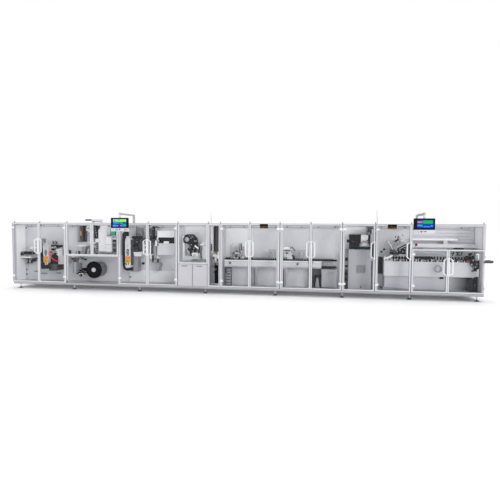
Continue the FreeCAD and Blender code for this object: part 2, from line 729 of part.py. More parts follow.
def leaf(name, hinge_edge, free_edge, side, bottom, top, handle_low, buttons=False):
    """One guard door: frame, knuckles and handle as one node, its pane as another.
    side is +1 with the hinge on the left and -1 with the hinge on the right."""
    low, high = (hinge_edge, free_edge) if side > 0 else (free_edge, hinge_edge)
    y = d.leaf_front
    slab = block(f"{name}_slab", (low, y, bottom), (high - low, d.leaf_thick, top - bottom))
    hole = block(f"{name}_hole", (low + d.stile, y - 1, bottom + d.stile),
                 (high - low - 2 * d.stile, d.leaf_thick + 2, top - bottom - 2 * d.stile))
    parts = [cut(f"{name}_ring", slab, [hole])]
    bores = []
    for number, z in enumerate(hinge_levels(bottom, top)):
        x = hinge_edge if side > 0 else hinge_edge - d.knuckle_leaf
        parts.append(block(f"{name}_hinge_{number}", (x, d.pin_y - d.knuckle_radius, z),
                           (d.knuckle_leaf, y - d.pin_y + d.knuckle_radius, d.knuckle_height)))
        parts.append(prism(f"{name}_knuckle_{number}", (hinge_edge, d.pin_y, z),
                           d.knuckle_radius, d.knuckle_height, PIN_SIDES))
        bores.append(prism(f"{name}_bore_{number}", (hinge_edge, d.pin_y, z - 1),
                           d.bore_radius, d.knuckle_height + 2, PIN_SIDES))
    loop_edge = free_edge - d.handle_inset * side
    parts += handle(f"{name}_handle", loop_edge, -side, handle_low)
    if buttons:
        parts.append(block(f"{name}_button_plate",
                           (loop_edge - d.button_plate_width - d.handle_bar,
                            y - d.button_plate_thick, handle_low + d.button_plate_drop),
                           (d.button_plate_width, d.button_plate_thick,
                            d.handle_length - 2 * d.button_plate_drop)))
    whole = fuse(f"{name}_whole", parts)
    node(name, [cut(f"{name}_frame", whole, bores)])
    node(name.replace("door_", "pane_"), [
        block(f"{name}_pane", (low + d.stile, y + (d.leaf_thick - d.pane_thick) / 2,
                               bottom + d.stile),
              (high - low - 2 * d.stile, d.pane_thick, top - bottom - 2 * d.stile))])


DOORS = [
    # name, hinge edge, free edge, hinge side, low door, button plate
    ("door_a1", edge[0], d.middle_a, 1, False, True),
    ("door_a2", edge[1], d.middle_a, -1, False, False),
    ("door_c1", edge[2], d.middle_c, 1, False, True),
    ("door_c2", edge[3], d.middle_c, -1, False, False),
    ("door_f1", edge[5], d.quarter_f, 1, False, False),
    ("door_f2", d.middle_f, d.quarter_f, -1, False, False),
    ("door_f3", d.middle_f, d.three_quarter_f, 1, False, False),
    ("door_f4", edge[6], d.three_quarter_f, -1, False, False),
    ("door_g", edge[6], edge[7], 1, False, False),
    ("door_h", edge[7], edge[8], 1, False, False),
    ("door_i1", edge[8], d.middle_i, 1, True, False),
    ("door_i2", edge[9], d.middle_i, -1, True, False),
]


def doors():
    """All hinged doors, and the fixed halves of their hinges on the posts."""
    brackets = []
    for name, hinge_at, free_at, side, is_low, buttons in DOORS:
        hinge_edge = hinge_at + d.edge_gap * side
        single = name in ("door_g", "door_h")
        free_edge = free_at - (d.edge_gap if single else d.meet_gap / 2) * side
        top = d.low_door_top if is_low else d.door_top
        low = d.low_handle_height if is_low else d.handle_height
        leaf(name, hinge_edge, free_edge, side, d.door_bottom, top, low, buttons)
        for number, z in enumerate(hinge_levels(d.door_bottom, top)):
            base = z - d.knuckle_gap - d.knuckle_height
            arm_x = hinge_at + d.bracket_gap if side > 0 else hinge_at - d.bracket_gap - d.bracket_thick
            brackets += [
                block(f"{name}_bracket_{number}", (arm_x, d.pin_y, base),
                      (d.bracket_thick, d.pin_stand, d.knuckle_height)),
                prism(f"{name}_seat_{number}", (hinge_edge, d.pin_y, base), d.knuckle_radius,
                      d.knuckle_height, PIN_SIDES),
                prism(f"{name}_pin_{number}", (hinge_edge, d.pin_y, base + d.knuckle_height),
                      d.pin_radius, d.knuckle_height + d.knuckle_gap + d.pin_rise, PIN_SIDES)]
    node("door_hinges", brackets)


def fixed_guards():
    """Upper guards of the second and fourth bay, the frame of the narrow bay and the
    two lift-off panels, all bolted to the posts, with their panes."""
    frames, panes = [], []
    y, thick = d.leaf_front, d.leaf_thick + d.leaf_gap
    upper_b = d.shelf_bottom + d.shelf_height
    upper_d = d.guard_d_bottom
    d.derive("pane_set", d.leaf_thick / 2)
    spans = [("guard_b1", edge[1] + d.edge_gap / 2, d.middle_b - d.meet_gap / 2, upper_b, d.door_top),
             ("guard_b2", d.middle_b + d.meet_gap / 2, edge[2] - d.edge_gap, upper_b, d.door_top),
             ("guard_d", edge[3] + d.edge_gap, edge[4] - d.edge_gap / 2, upper_d, d.door_top),
             ("guard_e", edge[4] + d.edge_gap / 2, edge[5] - d.edge_gap, d.door_bottom, d.door_top)]
    for name, low, high, bottom, top in spans:
        stile = d.stile * 0.7 if name == "guard_e" else d.stile
        slab = block(f"{name}_slab", (low, y, bottom), (high - low, thick, top - bottom))
        size = (high - low - 2 * stile, thick + 2, top - bottom - 2 * d.stile)
        hole = block(f"{name}_hole", (low + stile, y - 1, bottom + d.stile), size)
        frames.append(cut(name, slab, [hole]))
        if name != "guard_e":
            panes.append(block(f"{name}_pane", (low + stile, y + d.pane_set, bottom + d.stile),
                               (size[0], d.pane_thick, size[2])))
    lift = d.lift_panel_gap
    low, high = edge[3] + d.edge_gap, edge[4] - d.edge_gap / 2
    width = (high - low - lift) / 2
    for number in range(2):
        frames.append(block(f"lift_panel_{number}", (low + (width + lift) * number, y, d.door_bottom),
                            (width, thick, upper_d - d.door_bottom - lift)))
    node("guard_frames", frames)
    for number in range(10):
        start = ([edge[0] + d.post] + [x + d.post / 2 for x in edge[1:6]]
                 + [d.middle_f + d.post / 2] + [x + d.post / 2 for x in edge[6:9]])[number]
        end = ([x - d.post / 2 for x in edge[1:6]] + [d.middle_f - d.post / 2]
               + [x - d.post / 2 for x in edge[6:9]] + [edge[9] - d.post])[number]
        panes.append(block(f"roof_pane_{number}", (start, d.front + d.post,
                                                   d.guard_height - d.rail / 2),
                           (end - start, d.machine_depth - 2 * d.post, d.sheet_thick)))
    node("clear_panes", panes)


# Film reel and shelf.

def film_shelf():
    """The sill over the film compartment and the shelf behind it."""
    width = d.bay_b_width - d.post
    sill = block("film_sill", (edge[1] + d.post / 2, d.front, d.shelf_bottom),
                 (width, d.post, d.shelf_height))
    deck = block("film_deck", (edge[1] + d.post / 2, d.front + d.post,
                               d.shelf_bottom + d.shelf_height / 3),
                 (width, d.plate_depth - d.post, d.shelf_height / 3))
    node("film_shelf", [sill, deck])


def film_reel():
    """The film reel that turns on its shaft: rolled film between a front flange and
    a hub, with the shaft fixed to the mounting plate."""
    x, y, z = edge[1] + d.reel_left, d.front + d.reel_front, d.reel_height
    roll = prism("film_roll", (x, y + d.reel_flange_thick, z), d.reel_radius, d.reel_width, 36, "y")
    flange = prism("film_flange", (x, y, z), d.reel_flange_radius, d.reel_flange_thick, 36, "y")
    hub = prism("film_hub", (x, y - d.reel_hub_thick, z), d.reel_hub_radius, d.reel_hub_thick, 18, "y")
    bore = rod("film_bore", (x, y - d.reel_hub_thick - 1, z), d.reel_shaft_radius + d.reel_shaft_play,
               d.reel_width + d.reel_flange_thick + d.reel_hub_thick + 2, "y")
    node("film_reel", [cut("film_reel_turning", fuse("film_reel_whole", [roll, flange, hub]), [bore])])
    reach = d.reel_shaft_reach
    shaft = rod("reel_shaft", (x, y - reach, z), d.reel_shaft_radius, d.plate_y - y + reach, "y")
    cap = prism("reel_shaft_cap", (x, y - reach, z), d.reel_shaft_radius * 1.5, reach / 2, 16, "y")
    seat = prism("reel_shaft_seat", (x, y + d.reel_width + d.reel_seat_gap, z), d.reel_hub_radius,
                 d.plate_y - y - d.reel_width - d.reel_seat_gap, 16, "y")
    return [shaft, cap, seat]


# Operator panels.

def panels():
    """Two fixed arms on the roof, and a panel that swings under the tip of each."""
    arms = []
    for number, x, crank in ((1, edge[2] + d.arm_one_left, d.arm_one_crank),
                             (2, edge[8] + d.arm_two_left, d.arm_two_crank)):
        face = d.front - d.hmi_reach + d.button_reach
        y = face + d.panel_depth / 2
        name = f"arm_{number}"
        bend = (y + d.front) / 2
        low, half = d.arm_bottom, d.arm_width / 2
        side = 1 if crank.value > 0 else -1
        fore = block(f"{name}_fore", (x - half, y, low), (d.arm_width, bend - y, d.arm_height))
        across = block(f"{name}_across", (x - half if side > 0 else x + crank - half, bend, low),
                       (crank * side + d.arm_width, d.arm_width, d.arm_height))
        aft = block(f"{name}_aft", (x + crank - half, bend, low),
                    (d.arm_width, d.front + d.post - bend, d.arm_height))
        collar = prism(f"{name}_collar", (x, y, low), d.arm_collar_radius, d.arm_height, STEM_SIDES)
        bore = prism(f"{name}_bore", (x, y, low - 1), d.stem_bore_radius, d.arm_height + 2,
                     STEM_SIDES)
        column = block(f"{name}_column", (x + crank - d.arm_post / 2, d.front, d.guard_height),
                       (d.arm_post, d.post, low + d.arm_height - d.guard_height))
        arms.append(cut(name, fuse(f"{name}_whole", [fore, across, aft, collar, column]), [bore]))
        name = f"hmi_panel_{number}"
        bottom = d.panel_top - d.panel_height
        case = block(f"{name}_case", (x - d.panel_width / 2, face, bottom),
                     (d.panel_width, d.panel_depth, d.panel_height))
        screen = block(f"{name}_screen_cut", (x - d.panel_width / 2 + 3 * d.panel_edge, face - 1,
                                              bottom + 2 * d.panel_edge),
                       (d.panel_width - 6 * d.panel_edge, d.panel_recess + 1,
                        d.panel_height - 4 * d.panel_edge))
        strip = block(f"{name}_strip", (x - d.panel_width / 2, face, bottom - d.strip_height),
                      (d.panel_width, d.panel_depth, d.strip_height))
        stem = prism(f"{name}_stem", (x, y, d.panel_top), d.stem_radius,
                     d.arm_bottom + d.arm_height + d.panel_cap - d.panel_top, STEM_SIDES)
        neck = prism(f"{name}_neck", (x, y, d.panel_top), d.arm_collar_radius,
                     d.arm_bottom - 1 - d.panel_top, STEM_SIDES)
        cap = prism(f"{name}_cap", (x, y, d.arm_bottom + d.arm_height + 1), d.arm_collar_radius,
                    d.panel_cap, STEM_SIDES)
        parts = [cut(f"{name}_front", case, [screen]), strip, stem, neck, cap]
        for count in range(3):
            parts.append(prism(f"{name}_button_{count}",
                               (x - d.panel_width * (0.14 + 0.13 * count), face - d.button_reach,
                                bottom - d.strip_height / 2),
                               d.button_radius, d.button_reach, 10, "y"))
        node(name, parts)
    node("hmi_arms", arms)


# Stations. Each one is built on the mounting plate inside its own envelope.

outfeed = Site("outfeed", edge[9])
WHOLE = ((0, 1), (0, 1), (0, 1))
PIPE_LENGTHS = 8


def coolant_pipe(head, heater):
    """The curved coolant pipe from the forming head down to the heater box, bent in
    short straight lengths round a quarter circle."""
    x, y = edge[0] + d.pipe_left + d.pipe_bend, d.front + d.pipe_front
    step = 90 / PIPE_LENGTHS
    chord = d.pipe_bend * (2 * math.sin(math.radians(step / 2)) + 0.02)
    parts = []
    for number in range(PIPE_LENGTHS):
        angle = math.radians(180 + step * number)
        at = (x + d.pipe_bend * math.cos(angle), y, d.pipe_top + d.pipe_bend * math.sin(angle))
        piece = prism(f"coolant_length_{number}", at, d.pipe_radius, chord, 8)
        piece.Placement.Rotation = FreeCAD.Rotation(Vector(0, 1, 0), 180 - step * (number + 0.5))
        parts.append(piece)
    parts.append(prism("coolant_end_high", (edge[0] + d.pipe_left, y - d.pipe_radius, d.pipe_top),
                       d.pipe_radius * 1.3, head.y - y + d.pipe_radius, 12, "y"))
    parts.append(prism("coolant_end_low", (x, y - d.pipe_radius, d.pipe_top - d.pipe_bend),
                       d.pipe_radius * 1.3, heater.y - y + d.pipe_radius, 12, "y"))
    return parts


def stations_film():
    """Forming, heating and web parts of the first bay."""
    base = edge[0]
    roller = Site("web_roller", base)
    table, clamp, guide = Site("web_table", base), Site("web_clamp", base), Site("web_guide", base)
    middle = 0.115
    node("web_rollers", [
        roller.prism("drum", (0.1, middle, 0.5), 0.1, 0.9, "x", 20),
        roller.prism("collar_0", (0.1, middle, 0.5), 0.12, 0.05, "x", 16),
        roller.prism("collar_1", (0.93, middle, 0.5), 0.12, 0.05, "x", 16),
        roller.prism("shaft", (-0.1, middle, 0.5), 0.04, 0.2, "x", 8),
        roller.prism("knob", (-0.2, middle, 0.5), 0.125, 0.12, "x", 20),
        roller.block("arm_0", (0.3, 0.38), (middle, 1), (0.25, 0.75)),
        roller.block("arm_1", (0.75, 0.83), (middle, 1), (0.25, 0.75)),
        table.block("deck"), table.block("rail", (0, 1), (0, 0.05), (1, 1.9)),
        clamp.block("jaw_low", (0, 0.45), (0, 1), (0, 0.35)),
        clamp.block("jaw_high", (0.1, 0.6), (0, 1), (0.55, 1)),
        clamp.block("post", (0.2, 0.35), (0.1, 1), (0.35, 0.55)),
        clamp.prism("cylinder", (0.82, 0.3, 0), 0.12, 1, "z", 12),
        clamp.block("bridge", (0.5, 0.75), (0.2, 1), (0.6, 0.8)),
        guide.block("body", (0, 0.7)), guide.prism("rod", (0.85, 0.5, -0.3), 0.1, 1.6, "z", 10),
        guide.block("link", (0.7, 0.85), (0.3, 1), (0.3, 0.7))] + film_reel())
    lever, foot = Site("form_lever", base), Site("form_base", base)
    core, head, air = Site("form_core", base), Site("form_head", base), Site("form_air", base)
    heater = Site("heater", base)
    dials = [head.prism(f"dial_{number}", (0.25 + 0.25 * number, -0.16, 0.25), 0.09, 0.16, "y", 12)
             for number in range(3)]
    columns = [head.prism(f"column_{number}", (share, 0.25, 1), 0.045, 0.56 - 0.1 * (number % 2), "z", 10)
               for number, share in enumerate((0.12, 0.32, 0.55, 0.75))]
    bolts = [lever.prism(f"bolt_{number}", (0.2, -0.03, 0.2 + 0.25 * number), 0.05, 0.03, "y", 8)
             for number in range(3)]
    node("forming_station", [
        lever.profile("arm", ((0, 0), (0.3, 0), (0.3, 0.3), (1, 0.62), (1, 1), (0, 1)), (0, 1)),
        foot.profile("casting", ((0, 0), (1, 0), (1, 0.75), (0.85, 1), (0, 1))),
        foot.block("rib", (0.25, 0.33), (-0.05, 0), (0.1, 0.9)),
        core.block("body"), core.block("door", (0.26, 0.94), (-0.03, 0), (0.08, 0.7)),
        head.block("body"), head.block("plate", (-0.12, 1.12), (0.1, 1), (0.86, 0.96)),
        head.block("link", (0.3, 0.7), (0.2, 1), (-0.23, 0)),
        head.prism("cap_0", (0.22, 0.25, 1.2), 0.1, 0.25, "z", 12),
        head.prism("cap_1", (0.65, 0.25, 1.2), 0.1, 0.25, "z", 12),
        air.prism("air_0", (0.25, 0.3, 0), 0.2, 1, "z", 12),
        air.prism("air_1", (0.75, 0.3, 0), 0.2, 0.8, "z", 12),
        air.block("mount", (0, 1), (0.3, 1), (0.2, 0.6)),
        air.block("foot", (0.1, 0.9), (0.1, 1), (-0.1, 0))] + dials + columns + bolts
        + coolant_pipe(head, heater))
    towers = []
    for press in (Site("press_a", base), Site("press_c", edge[2])):
        rim = press.w * 0.5
        body = fuse(f"{press.name}_casting", [
            block(f"{press.name}_column", (press.x, press.y, press.z + rim),
                  (press.w, press.d, press.h - 2 * rim)),
            prism(f"{press.name}_low", (press.x + rim, press.y, press.z + rim), rim, press.d, 24,
                  "y"),
            prism(f"{press.name}_high", (press.x + rim, press.y, press.z + press.h - rim), rim,
                  press.d, 24, "y")])
        eye_radius = press.w * 0.2
        eye_x, eye_z = press.x + rim, press.z + press.h * 0.5
        sunk = d.press_eye_depth + 1
        eye = [block(f"{press.name}_eye", (eye_x - eye_radius, press.y - 1, eye_z),
                     (eye_radius * 2, sunk, press.w * 0.5)),
               prism(f"{press.name}_eye_low", (eye_x, press.y - 1, eye_z), eye_radius, sunk, 16, "y"),
               prism(f"{press.name}_eye_high", (eye_x, press.y - 1, eye_z + press.w * 0.5),
                     eye_radius, sunk, 16, "y")]
        inset = d.press_head_inset
        towers += [cut(f"{press.name}_tower", body, eye),
                   block(f"{press.name}_head", (press.x + press.w * 0.2, press.y + inset,
                                                press.z + press.h * 0.99),
                         (press.w * 0.6, press.d - 2 * inset, press.w * 0.25)),
                   block(f"{press.name}_claw", (press.x + press.w * 0.15, press.y + inset,
                                                press.z - press.w * 0.4),
                         (press.w * 0.7, press.d - inset, press.w * 0.5))]
    node("press_towers", towers)
    node("heating_station", [
        heater.block("body"), heater.block("lid", (-0.04, 1.04), (-0.03, 1), (0.9, 1)),
        heater.prism("rod_0", (0.2, 0.3, 1), 0.07, 0.85, "z", 12),
        heater.prism("rod_1", (0.6, 0.3, 1), 0.07, 0.6, "z", 12),
        heater.profile("cap", ((0.05, 1.6), (0.75, 1.45), (0.75, 1.6), (0.35, 1.85), (0.05, 1.85)),
                       (0.2, 1)),
        heater.block("stop", (0.8, 0.95), (0.2, 1), (1, 1.5))])


def stations_coding():
    """Coding parts and small cabinets of the second bay."""
    base = edge[1]
    panel, hanger = Site("coding_panel", base), Site("coding_hanger", base)
    low, unit, hood = Site("coding_low", base), Site("coding_unit", base), Site("coding_hood", base)
    node("coding_station", [
        panel.block("body"), panel.block("strip", (0.4, 0.58), (-0.05, 0), (0.38, 0.67)),
        panel.block("edge", (0.86, 1), (-0.15, 0), (0, 1)),
        hanger.profile("plate", ((0.5, 0), (0.95, 0), (0.95, 0.55), (1.25, 0.75), (0.4, 1), (0.1, 1),
                                 (0.5, 0.6)), (0.3, 1)),
        hanger.prism("pulley_0", (0.3, 0, 0.92), 0.2, 0.3, "y", 16),
        hanger.prism("pulley_1", (0.95, 0, 0.72), 0.17, 0.3, "y", 16),
        hanger.prism("pulley_2", (0.72, 0, 0.1), 0.22, 0.3, "y", 16),
        low.block("bar", (0, 0.62), (-0.1, 1), (1, 1.14)),
        low.block("head", (0.25, 0.5), (0.1, 1), (0.2, 1)),
        low.block("bed", (0, 1), (0, 1), (0, 0.2)),
        low.prism("wheel", (0.8, 0.1, 0.55), 0.14, 0.9, "y", 16),
        unit.block("body"), unit.block("arm", (0.3, 0.6), (0.4, 1), (-0.5, 0)),
        unit.prism("motor", (0.5, -0.1, 0.5), 0.3, 0.1, "y", 16),
        unit.block("tray", (-0.1, 0.45), (0, 1), (-0.62, -0.5)),
        unit.prism("roll", (0.2, 0, -1), 0.12, 1, "y", 12),
        unit.block("roll_arm", (0.1, 0.3), (0.5, 1), (-1, -0.62)),
        hood.profile("sheet", ((0.42, 0), (0.62, 0.03), (0.66, 0.42), (1, 0.9), (0.95, 1), (0.25, 1),
                               (0, 0.82), (0.33, 0.55)))])
    cabinet_b, louvre, screen = Site("cabinet_b", base), Site("louvre_b", base), Site("screen_b", base)
    cabinet_c, cabinet_f = Site("cabinet_c", edge[2]), Site("cabinet_f", edge[5])
    window = cabinet_c.block("window", (0.06, 0.94), (-0.1, 0.4), (0.5, 0.72))
    node("service_cabinets", [
        cabinet_b.block("body"), cabinet_b.block("door", (0.06, 0.94), (-0.03, 0), (0.05, 0.45)),
        cabinet_b.block("lid", (0.06, 0.94), (-0.03, 0), (0.5, 0.95)),
        louvre.row("body", d.louvre_pitch, 0.5, "z", WHOLE, ((0.12, 0.88), (-0.01, 0.05), (0, 1)),
                   True),
        screen.block("body"),
        block("screen_b_arm", screen.at(0.4, 1, 0.4),
              (screen.w * 0.2, d.plate_y - screen.y - screen.d, screen.h * 0.2)),
        cut("cabinet_c_case", cabinet_c.block("body"), [window]),
        cabinet_c.block("drum", (0.12, 0.88), (0.1, 0.4), (0.58, 0.66)),
        cabinet_c.block("sill", (0.04, 0.96), (-0.04, 0), (0.44, 0.48)),
        cabinet_f.block("body"), cabinet_f.block("door", (0.03, 0.97), (-0.03, 0), (0.03, 0.9)),
        cabinet_f.block("grip", (0.35, 0.75), (-0.07, -0.03), (0.78, 0.81))])
    unwind = Site("unwind", base)
    node("unwind_arms", [
        unwind.block("column", (0, 0.15), (0, 1), (0.24, 0.64)),
        unwind.block("head", (-0.02, 0.35), (0.2, 1), (0.7, 0.95)),
        unwind.block("neck", (0, 0.2), (0.3, 1), (0.64, 0.7)),
        unwind.prism("pulley", (0.35, 0, 0.8), 0.09, 0.2, "y", 16),
        unwind.profile("dancer", ((0.2, 0.12), (0.27, 0.12), (0.62, 0.32), (0.62, 0.4), (0.52, 0.4)),
                       (0.3, 0.4)),
        unwind.prism("dancer_pivot", (0.58, 0.25, 0.36), 0.045, 0.75, "y", 12),
        unwind.prism("roll_0", (0.24, 0, 0.14), 0.08, 1, "y", 16),
        unwind.prism("roll_1", (0.42, 0, 0.28), 0.06, 1, "y", 16)])


def stations_sealing():
    """Sealing and punching parts of the third bay."""
    base = edge[2]
    column, unit = Site("seal_column", base), Site("seal_unit", base)
    drive, bowl = Site("seal_drive", base), Site("seal_bowl", base)
    guard = Site("seal_guard", base)
    node("sealing_station", [
        column.block("body"), column.block("edge", (0.75, 1.08), (-0.04, 1), (0.1, 0.3)),
        unit.profile("body", ((0, 0.05), (0.55, 0), (1, 0.1), (1, 0.86), (0.1, 0.86), (0, 0.7))),
        unit.block("plate", (0.3, 0.85), (-0.06, 0.9), (0.86, 0.94)),
        unit.block("jaw", (0.3, 0.9), (-0.2, 0), (0.3, 0.46)),
        unit.prism("knob", (0.6, -0.32, 0.62), 0.12, 0.32, "y", 16),
        drive.prism("motor", (0.4, 0.4, -0.25), 0.36, 1.15, "z", 24),
        drive.block("mount", (0.1, 0.7), (0.4, 1), (0, 0.4)),
        drive.prism("lift", (-0.25, 0.2, -0.45), 0.09, 1.5, "z", 10),
        drive.block("lift_arm", (-0.35, 0.1), (0.15, 1), (0.1, 0.25)),
        bowl.profile("tray", ((0.12, 0), (0.85, 0), (1, 0.55), (1, 1), (0, 1), (0, 0.6)), (0, 0.45)),
        bowl.block("bed", (0, 1), (0.45, 1), (0.4, 1)),
        bowl.block("cap", (-0.03, 1.03), (-0.02, 1), (1, 1.15)),
        guard.profile("sheet", ((0.6, 0), (1, 0), (0.4, 0.12), (0.35, 0.88), (1, 1), (0.7, 1), (0, 0.9),
                                (0, 0.12)), (0, 0.3)),
        guard.block("rail", (0, 0.35), (0.3, 1), (0.45, 0.55))])
    punch, leg = Site("punch", base), Site("punch_leg", base)
    node("punching_station", [
        punch.block("body", (0.2, 0.8), (0.3, 1), (0, 1)),
        punch.profile("head", ((0, 0.45), (0.7, 0.42), (1.04, 0.5), (1.04, 0.66), (0.8, 0.75), (0, 0.75)),
                      (0, 1)),
        punch.block("table", (0, 1), (0, 1), (0.12, 0.24)),
        punch.block("top", (-0.1, 0.6), (0.1, 1), (0.85, 0.93)),
        punch.prism("column_0", (0.12, 0.15, 0.24), 0.06, 0.2, "z", 12),
        punch.prism("column_1", (0.85, 0.15, 0.24), 0.06, 0.22, "z", 12),
        punch.prism("wheel", (0.55, -0.25, 0.6), 0.24, 0.25, "y", 16),
        punch.prism("motor", (0.35, 0.5, 0.9), 0.2, 0.1, "z", 16),
        leg.profile("body", ((0.2, 0), (0.9, 0), (0.9, 0.35), (1.3, 0.6), (1.3, 1), (0, 1)))])


def stations_transfer():
    """Feeder of the fourth bay and web tower of the narrow bay."""
    feeder, box = Site("feeder", edge[3]), Site("feeder_box", edge[3])
    node("transfer_feeder", [
        feeder.block("base", (0.05, 1), (0, 1), (0, 0.16)),
        feeder.block("foot", (0.58, 0.98), (-0.1, 0.5), (0.16, 0.3)),
        feeder.block("frame", (-0.03, 0.06), (0, 0.3), (0, 0.93)),
        feeder.profile("body", ((0.1, 0.16), (0.85, 0.16), (0.9, 0.42), (0.62, 0.6), (0.3, 0.56),
                                (0.1, 0.4)), (0.3, 1)),
        feeder.profile("head", ((0.06, 0.68), (0.5, 0.56), (0.8, 0.62), (0.74, 0.82), (0.5, 1), (0.2, 0.97),
                                (0.06, 0.86)), (0.1, 1)),
        feeder.prism("disc", (0.24, -0.05, 0.8), 0.14, 0.15, "y", 24),
        feeder.prism("disc_hub", (0.24, -0.12, 0.8), 0.05, 0.07, "y", 16),
        feeder.profile("arm", ((0.44, 0.16), (0.56, 0.16), (0.58, 0.4), (0.78, 0.52), (0.74, 0.6),
                               (0.5, 0.5)),
                       (0.08, 0.3)),
        feeder.prism("rod_0", (0.2, 0.15, 0.16), 0.03, 0.4, "z", 10),
        feeder.prism("rod_1", (0.32, 0.15, 0.16), 0.03, 0.4, "z", 10),
        feeder.prism("wheel", (0.3, 0.05, 0.36), 0.1, 0.25, "y", 16),
        box.block("body"), box.block("lid", (-0.08, 1.08), (-0.1, 1), (0.93, 1.02))])
    tower, mid = Site("web_tower", edge[4]), Site("web_tower_mech", edge[4])
    slots = Site("web_tower_slots", edge[4])
    node("web_tower", [
        tower.block("body", (0.35, 0.95)), tower.block("rail", (0.35, 0.5), (-0.12, 0), (0.02, 0.98)),
        tower.block("bar", (0.8, 0.95), (-0.12, 0), (0.02, 0.98)),
        slots.row("body", d.slot_pitch, 0.7, "z", WHOLE, ((0.3, 0.7), (-0.01, 0.1), (0, 1)), True),
        mid.block("body", (0, 0.6), (0, 1), (0.3, 1)),
        mid.prism("bowl", (0.72, 0.2, 0.8), 0.2, 0.8, "y", 16),
        mid.block("arm", (0.5, 0.85), (0.3, 1), (0.1, 0.5)),
        mid.prism("eye", (0.25, -0.25, 0.72), 0.14, 0.25, "y", 16)])


def stations_bench():
    """Bench, chains and small stations of the sixth bay."""
    bench, lattice = Site("bench", edge[5]), Site("bench_lattice", edge[5])
    legs = []
    for number, share in enumerate((0.31, 0.62, 0.93)):
        x = bench.x + bench.w * share
        legs.append(block(f"bench_leg_{number}", (x, bench.y + bench.d, d.base_top),
                          (d.bench_leg, d.bench_leg, bench.z - d.base_top)))
        legs.append(block(f"bench_arm_{number}", (x, bench.y + bench.d / 2, bench.z - d.bench_arm),
                          (d.bench_leg, d.plate_y - bench.y - bench.d / 2, d.bench_arm)))
    gates = Site("bench_gate", edge[5])
    node("transfer_bench", [
        bench.block("panel", (0, 1), (0.1, 1), (0.15, 0.73)), bench.block("top", (0, 1), (0, 1), (0.73, 1)),
        bench.block("low", (0, 1), (0, 1), (0, 0.15)),
        bench.prism("knob_0", (0.06, -0.12, 0.5), 0.011, 0.22, "y", 16),
        bench.prism("knob_1", (0.76, -0.12, 0.5), 0.011, 0.22, "y", 16),
        lattice.row("body", d.lattice_pitch, 0.75, "z", WHOLE, ((0.12, 0.88), (-0.1, 1.1), (0, 1)), True),
        gates.profile("leg", ((0, 0), (0.22, 0), (0.35, 0.62), (0.65, 0.62), (0.78, 0), (1, 0), (0.9, 1),
                              (0.1, 1)), (0.55, 1))] + legs)
    chain, track = Site("chain_f", edge[5]), Site("chain_h", edge[7])
    node("lug_chains", [
        chain.row("run", d.lug_pitch, 0.2, "x", ((0, 1), (0, 1), (0.8, 0.9)),
                  ((0, 1), (0.1, 0.9), (0.88, 1))),
        block("chain_f_return", (chain.x, chain.y, chain.z), (chain.w, chain.d, d.chain_thick)),
        block("chain_f_back", (chain.x, chain.y + chain.d, chain.z + d.chain_thick),
              (chain.w, d.plate_y - chain.y - chain.d, chain.h - d.chain_thick)),
        track.block("front", (0, 1), (0, 0.5), (0, 0.35)),
        track.row("rear", d.lug_pitch, 0.4, "x", ((0, 1), (0.5, 1), (0, 0.35)),
                  ((0, 1), (0.6, 0.95), (0.3, 1)))])
    hopper, printer = Site("hopper", edge[5]), Site("printer", edge[5])
    left, right = Site("frame_left", edge[5]), Site("frame_right", edge[5])
    frames = []
    for frame in (left, right):
        frames += [frame.block("wall_0", (0, 0.03), (0, 1), (0, 1)),
                   frame.block("wall_1", (0.3, 0.33), (0, 1), (0, 0.9)),
                   frame.block("wall_2", (0.64, 0.67), (0, 1), (0, 0.9)),
                   frame.block("wall_3", (0.97, 1), (0, 1), (0, 1)),
                   frame.block("bar", (0.03, 0.97), (0.4, 0.6), (0.93, 1))]
    node("bench_stations", [
        hopper.block("wall_0", (0, 0.02)), hopper.block("wall_1", (0.98, 1)),
        hopper.block("back", (0.02, 0.98), (0.95, 1), (0, 0.8)),
        hopper.block("bed", (0.15, 0.85), (0.2, 0.95), (0, 0.12)),
        hopper.prism("rod_0", (0.45, 0.5, 0.12), 0.035, 0.85, "z", 12),
        hopper.prism("rod_1", (0.62, 0.5, 0.12), 0.035, 0.8, "z", 12),
        hopper.prism("wheel_0", (0.25, 0.3, 0.35), 0.11, 0.65, "y", 16),
        hopper.prism("wheel_1", (0.7, 0.3, 0.45), 0.11, 0.65, "y", 16),
        hopper.block("gate", (0.38, 0.54), (0.2, 0.4), (0.33, 0.42)),
        printer.block("column", (0.3, 0.75), (0.2, 1), (0, 0.62)),
        printer.profile("body", ((0.02, 0.22), (0.5, 0.22), (0.78, 0.4), (0.78, 0.62), (0.02, 0.62)), (0, 1)),
        printer.prism("drum", (0, 0.5, 0.8), 0.16, 0.55, "x", 20),
        printer.block("cradle", (0.1, 0.5), (0.3, 0.8), (0.62, 0.7)),
        printer.prism("knob", (0.32, -0.14, 0.5), 0.06, 0.14, "y", 16),
        printer.profile("chute", ((0.8, 0), (1.1, 0), (0.9, 0.35), (0.78, 0.4)), (0.1, 0.9))] + frames)


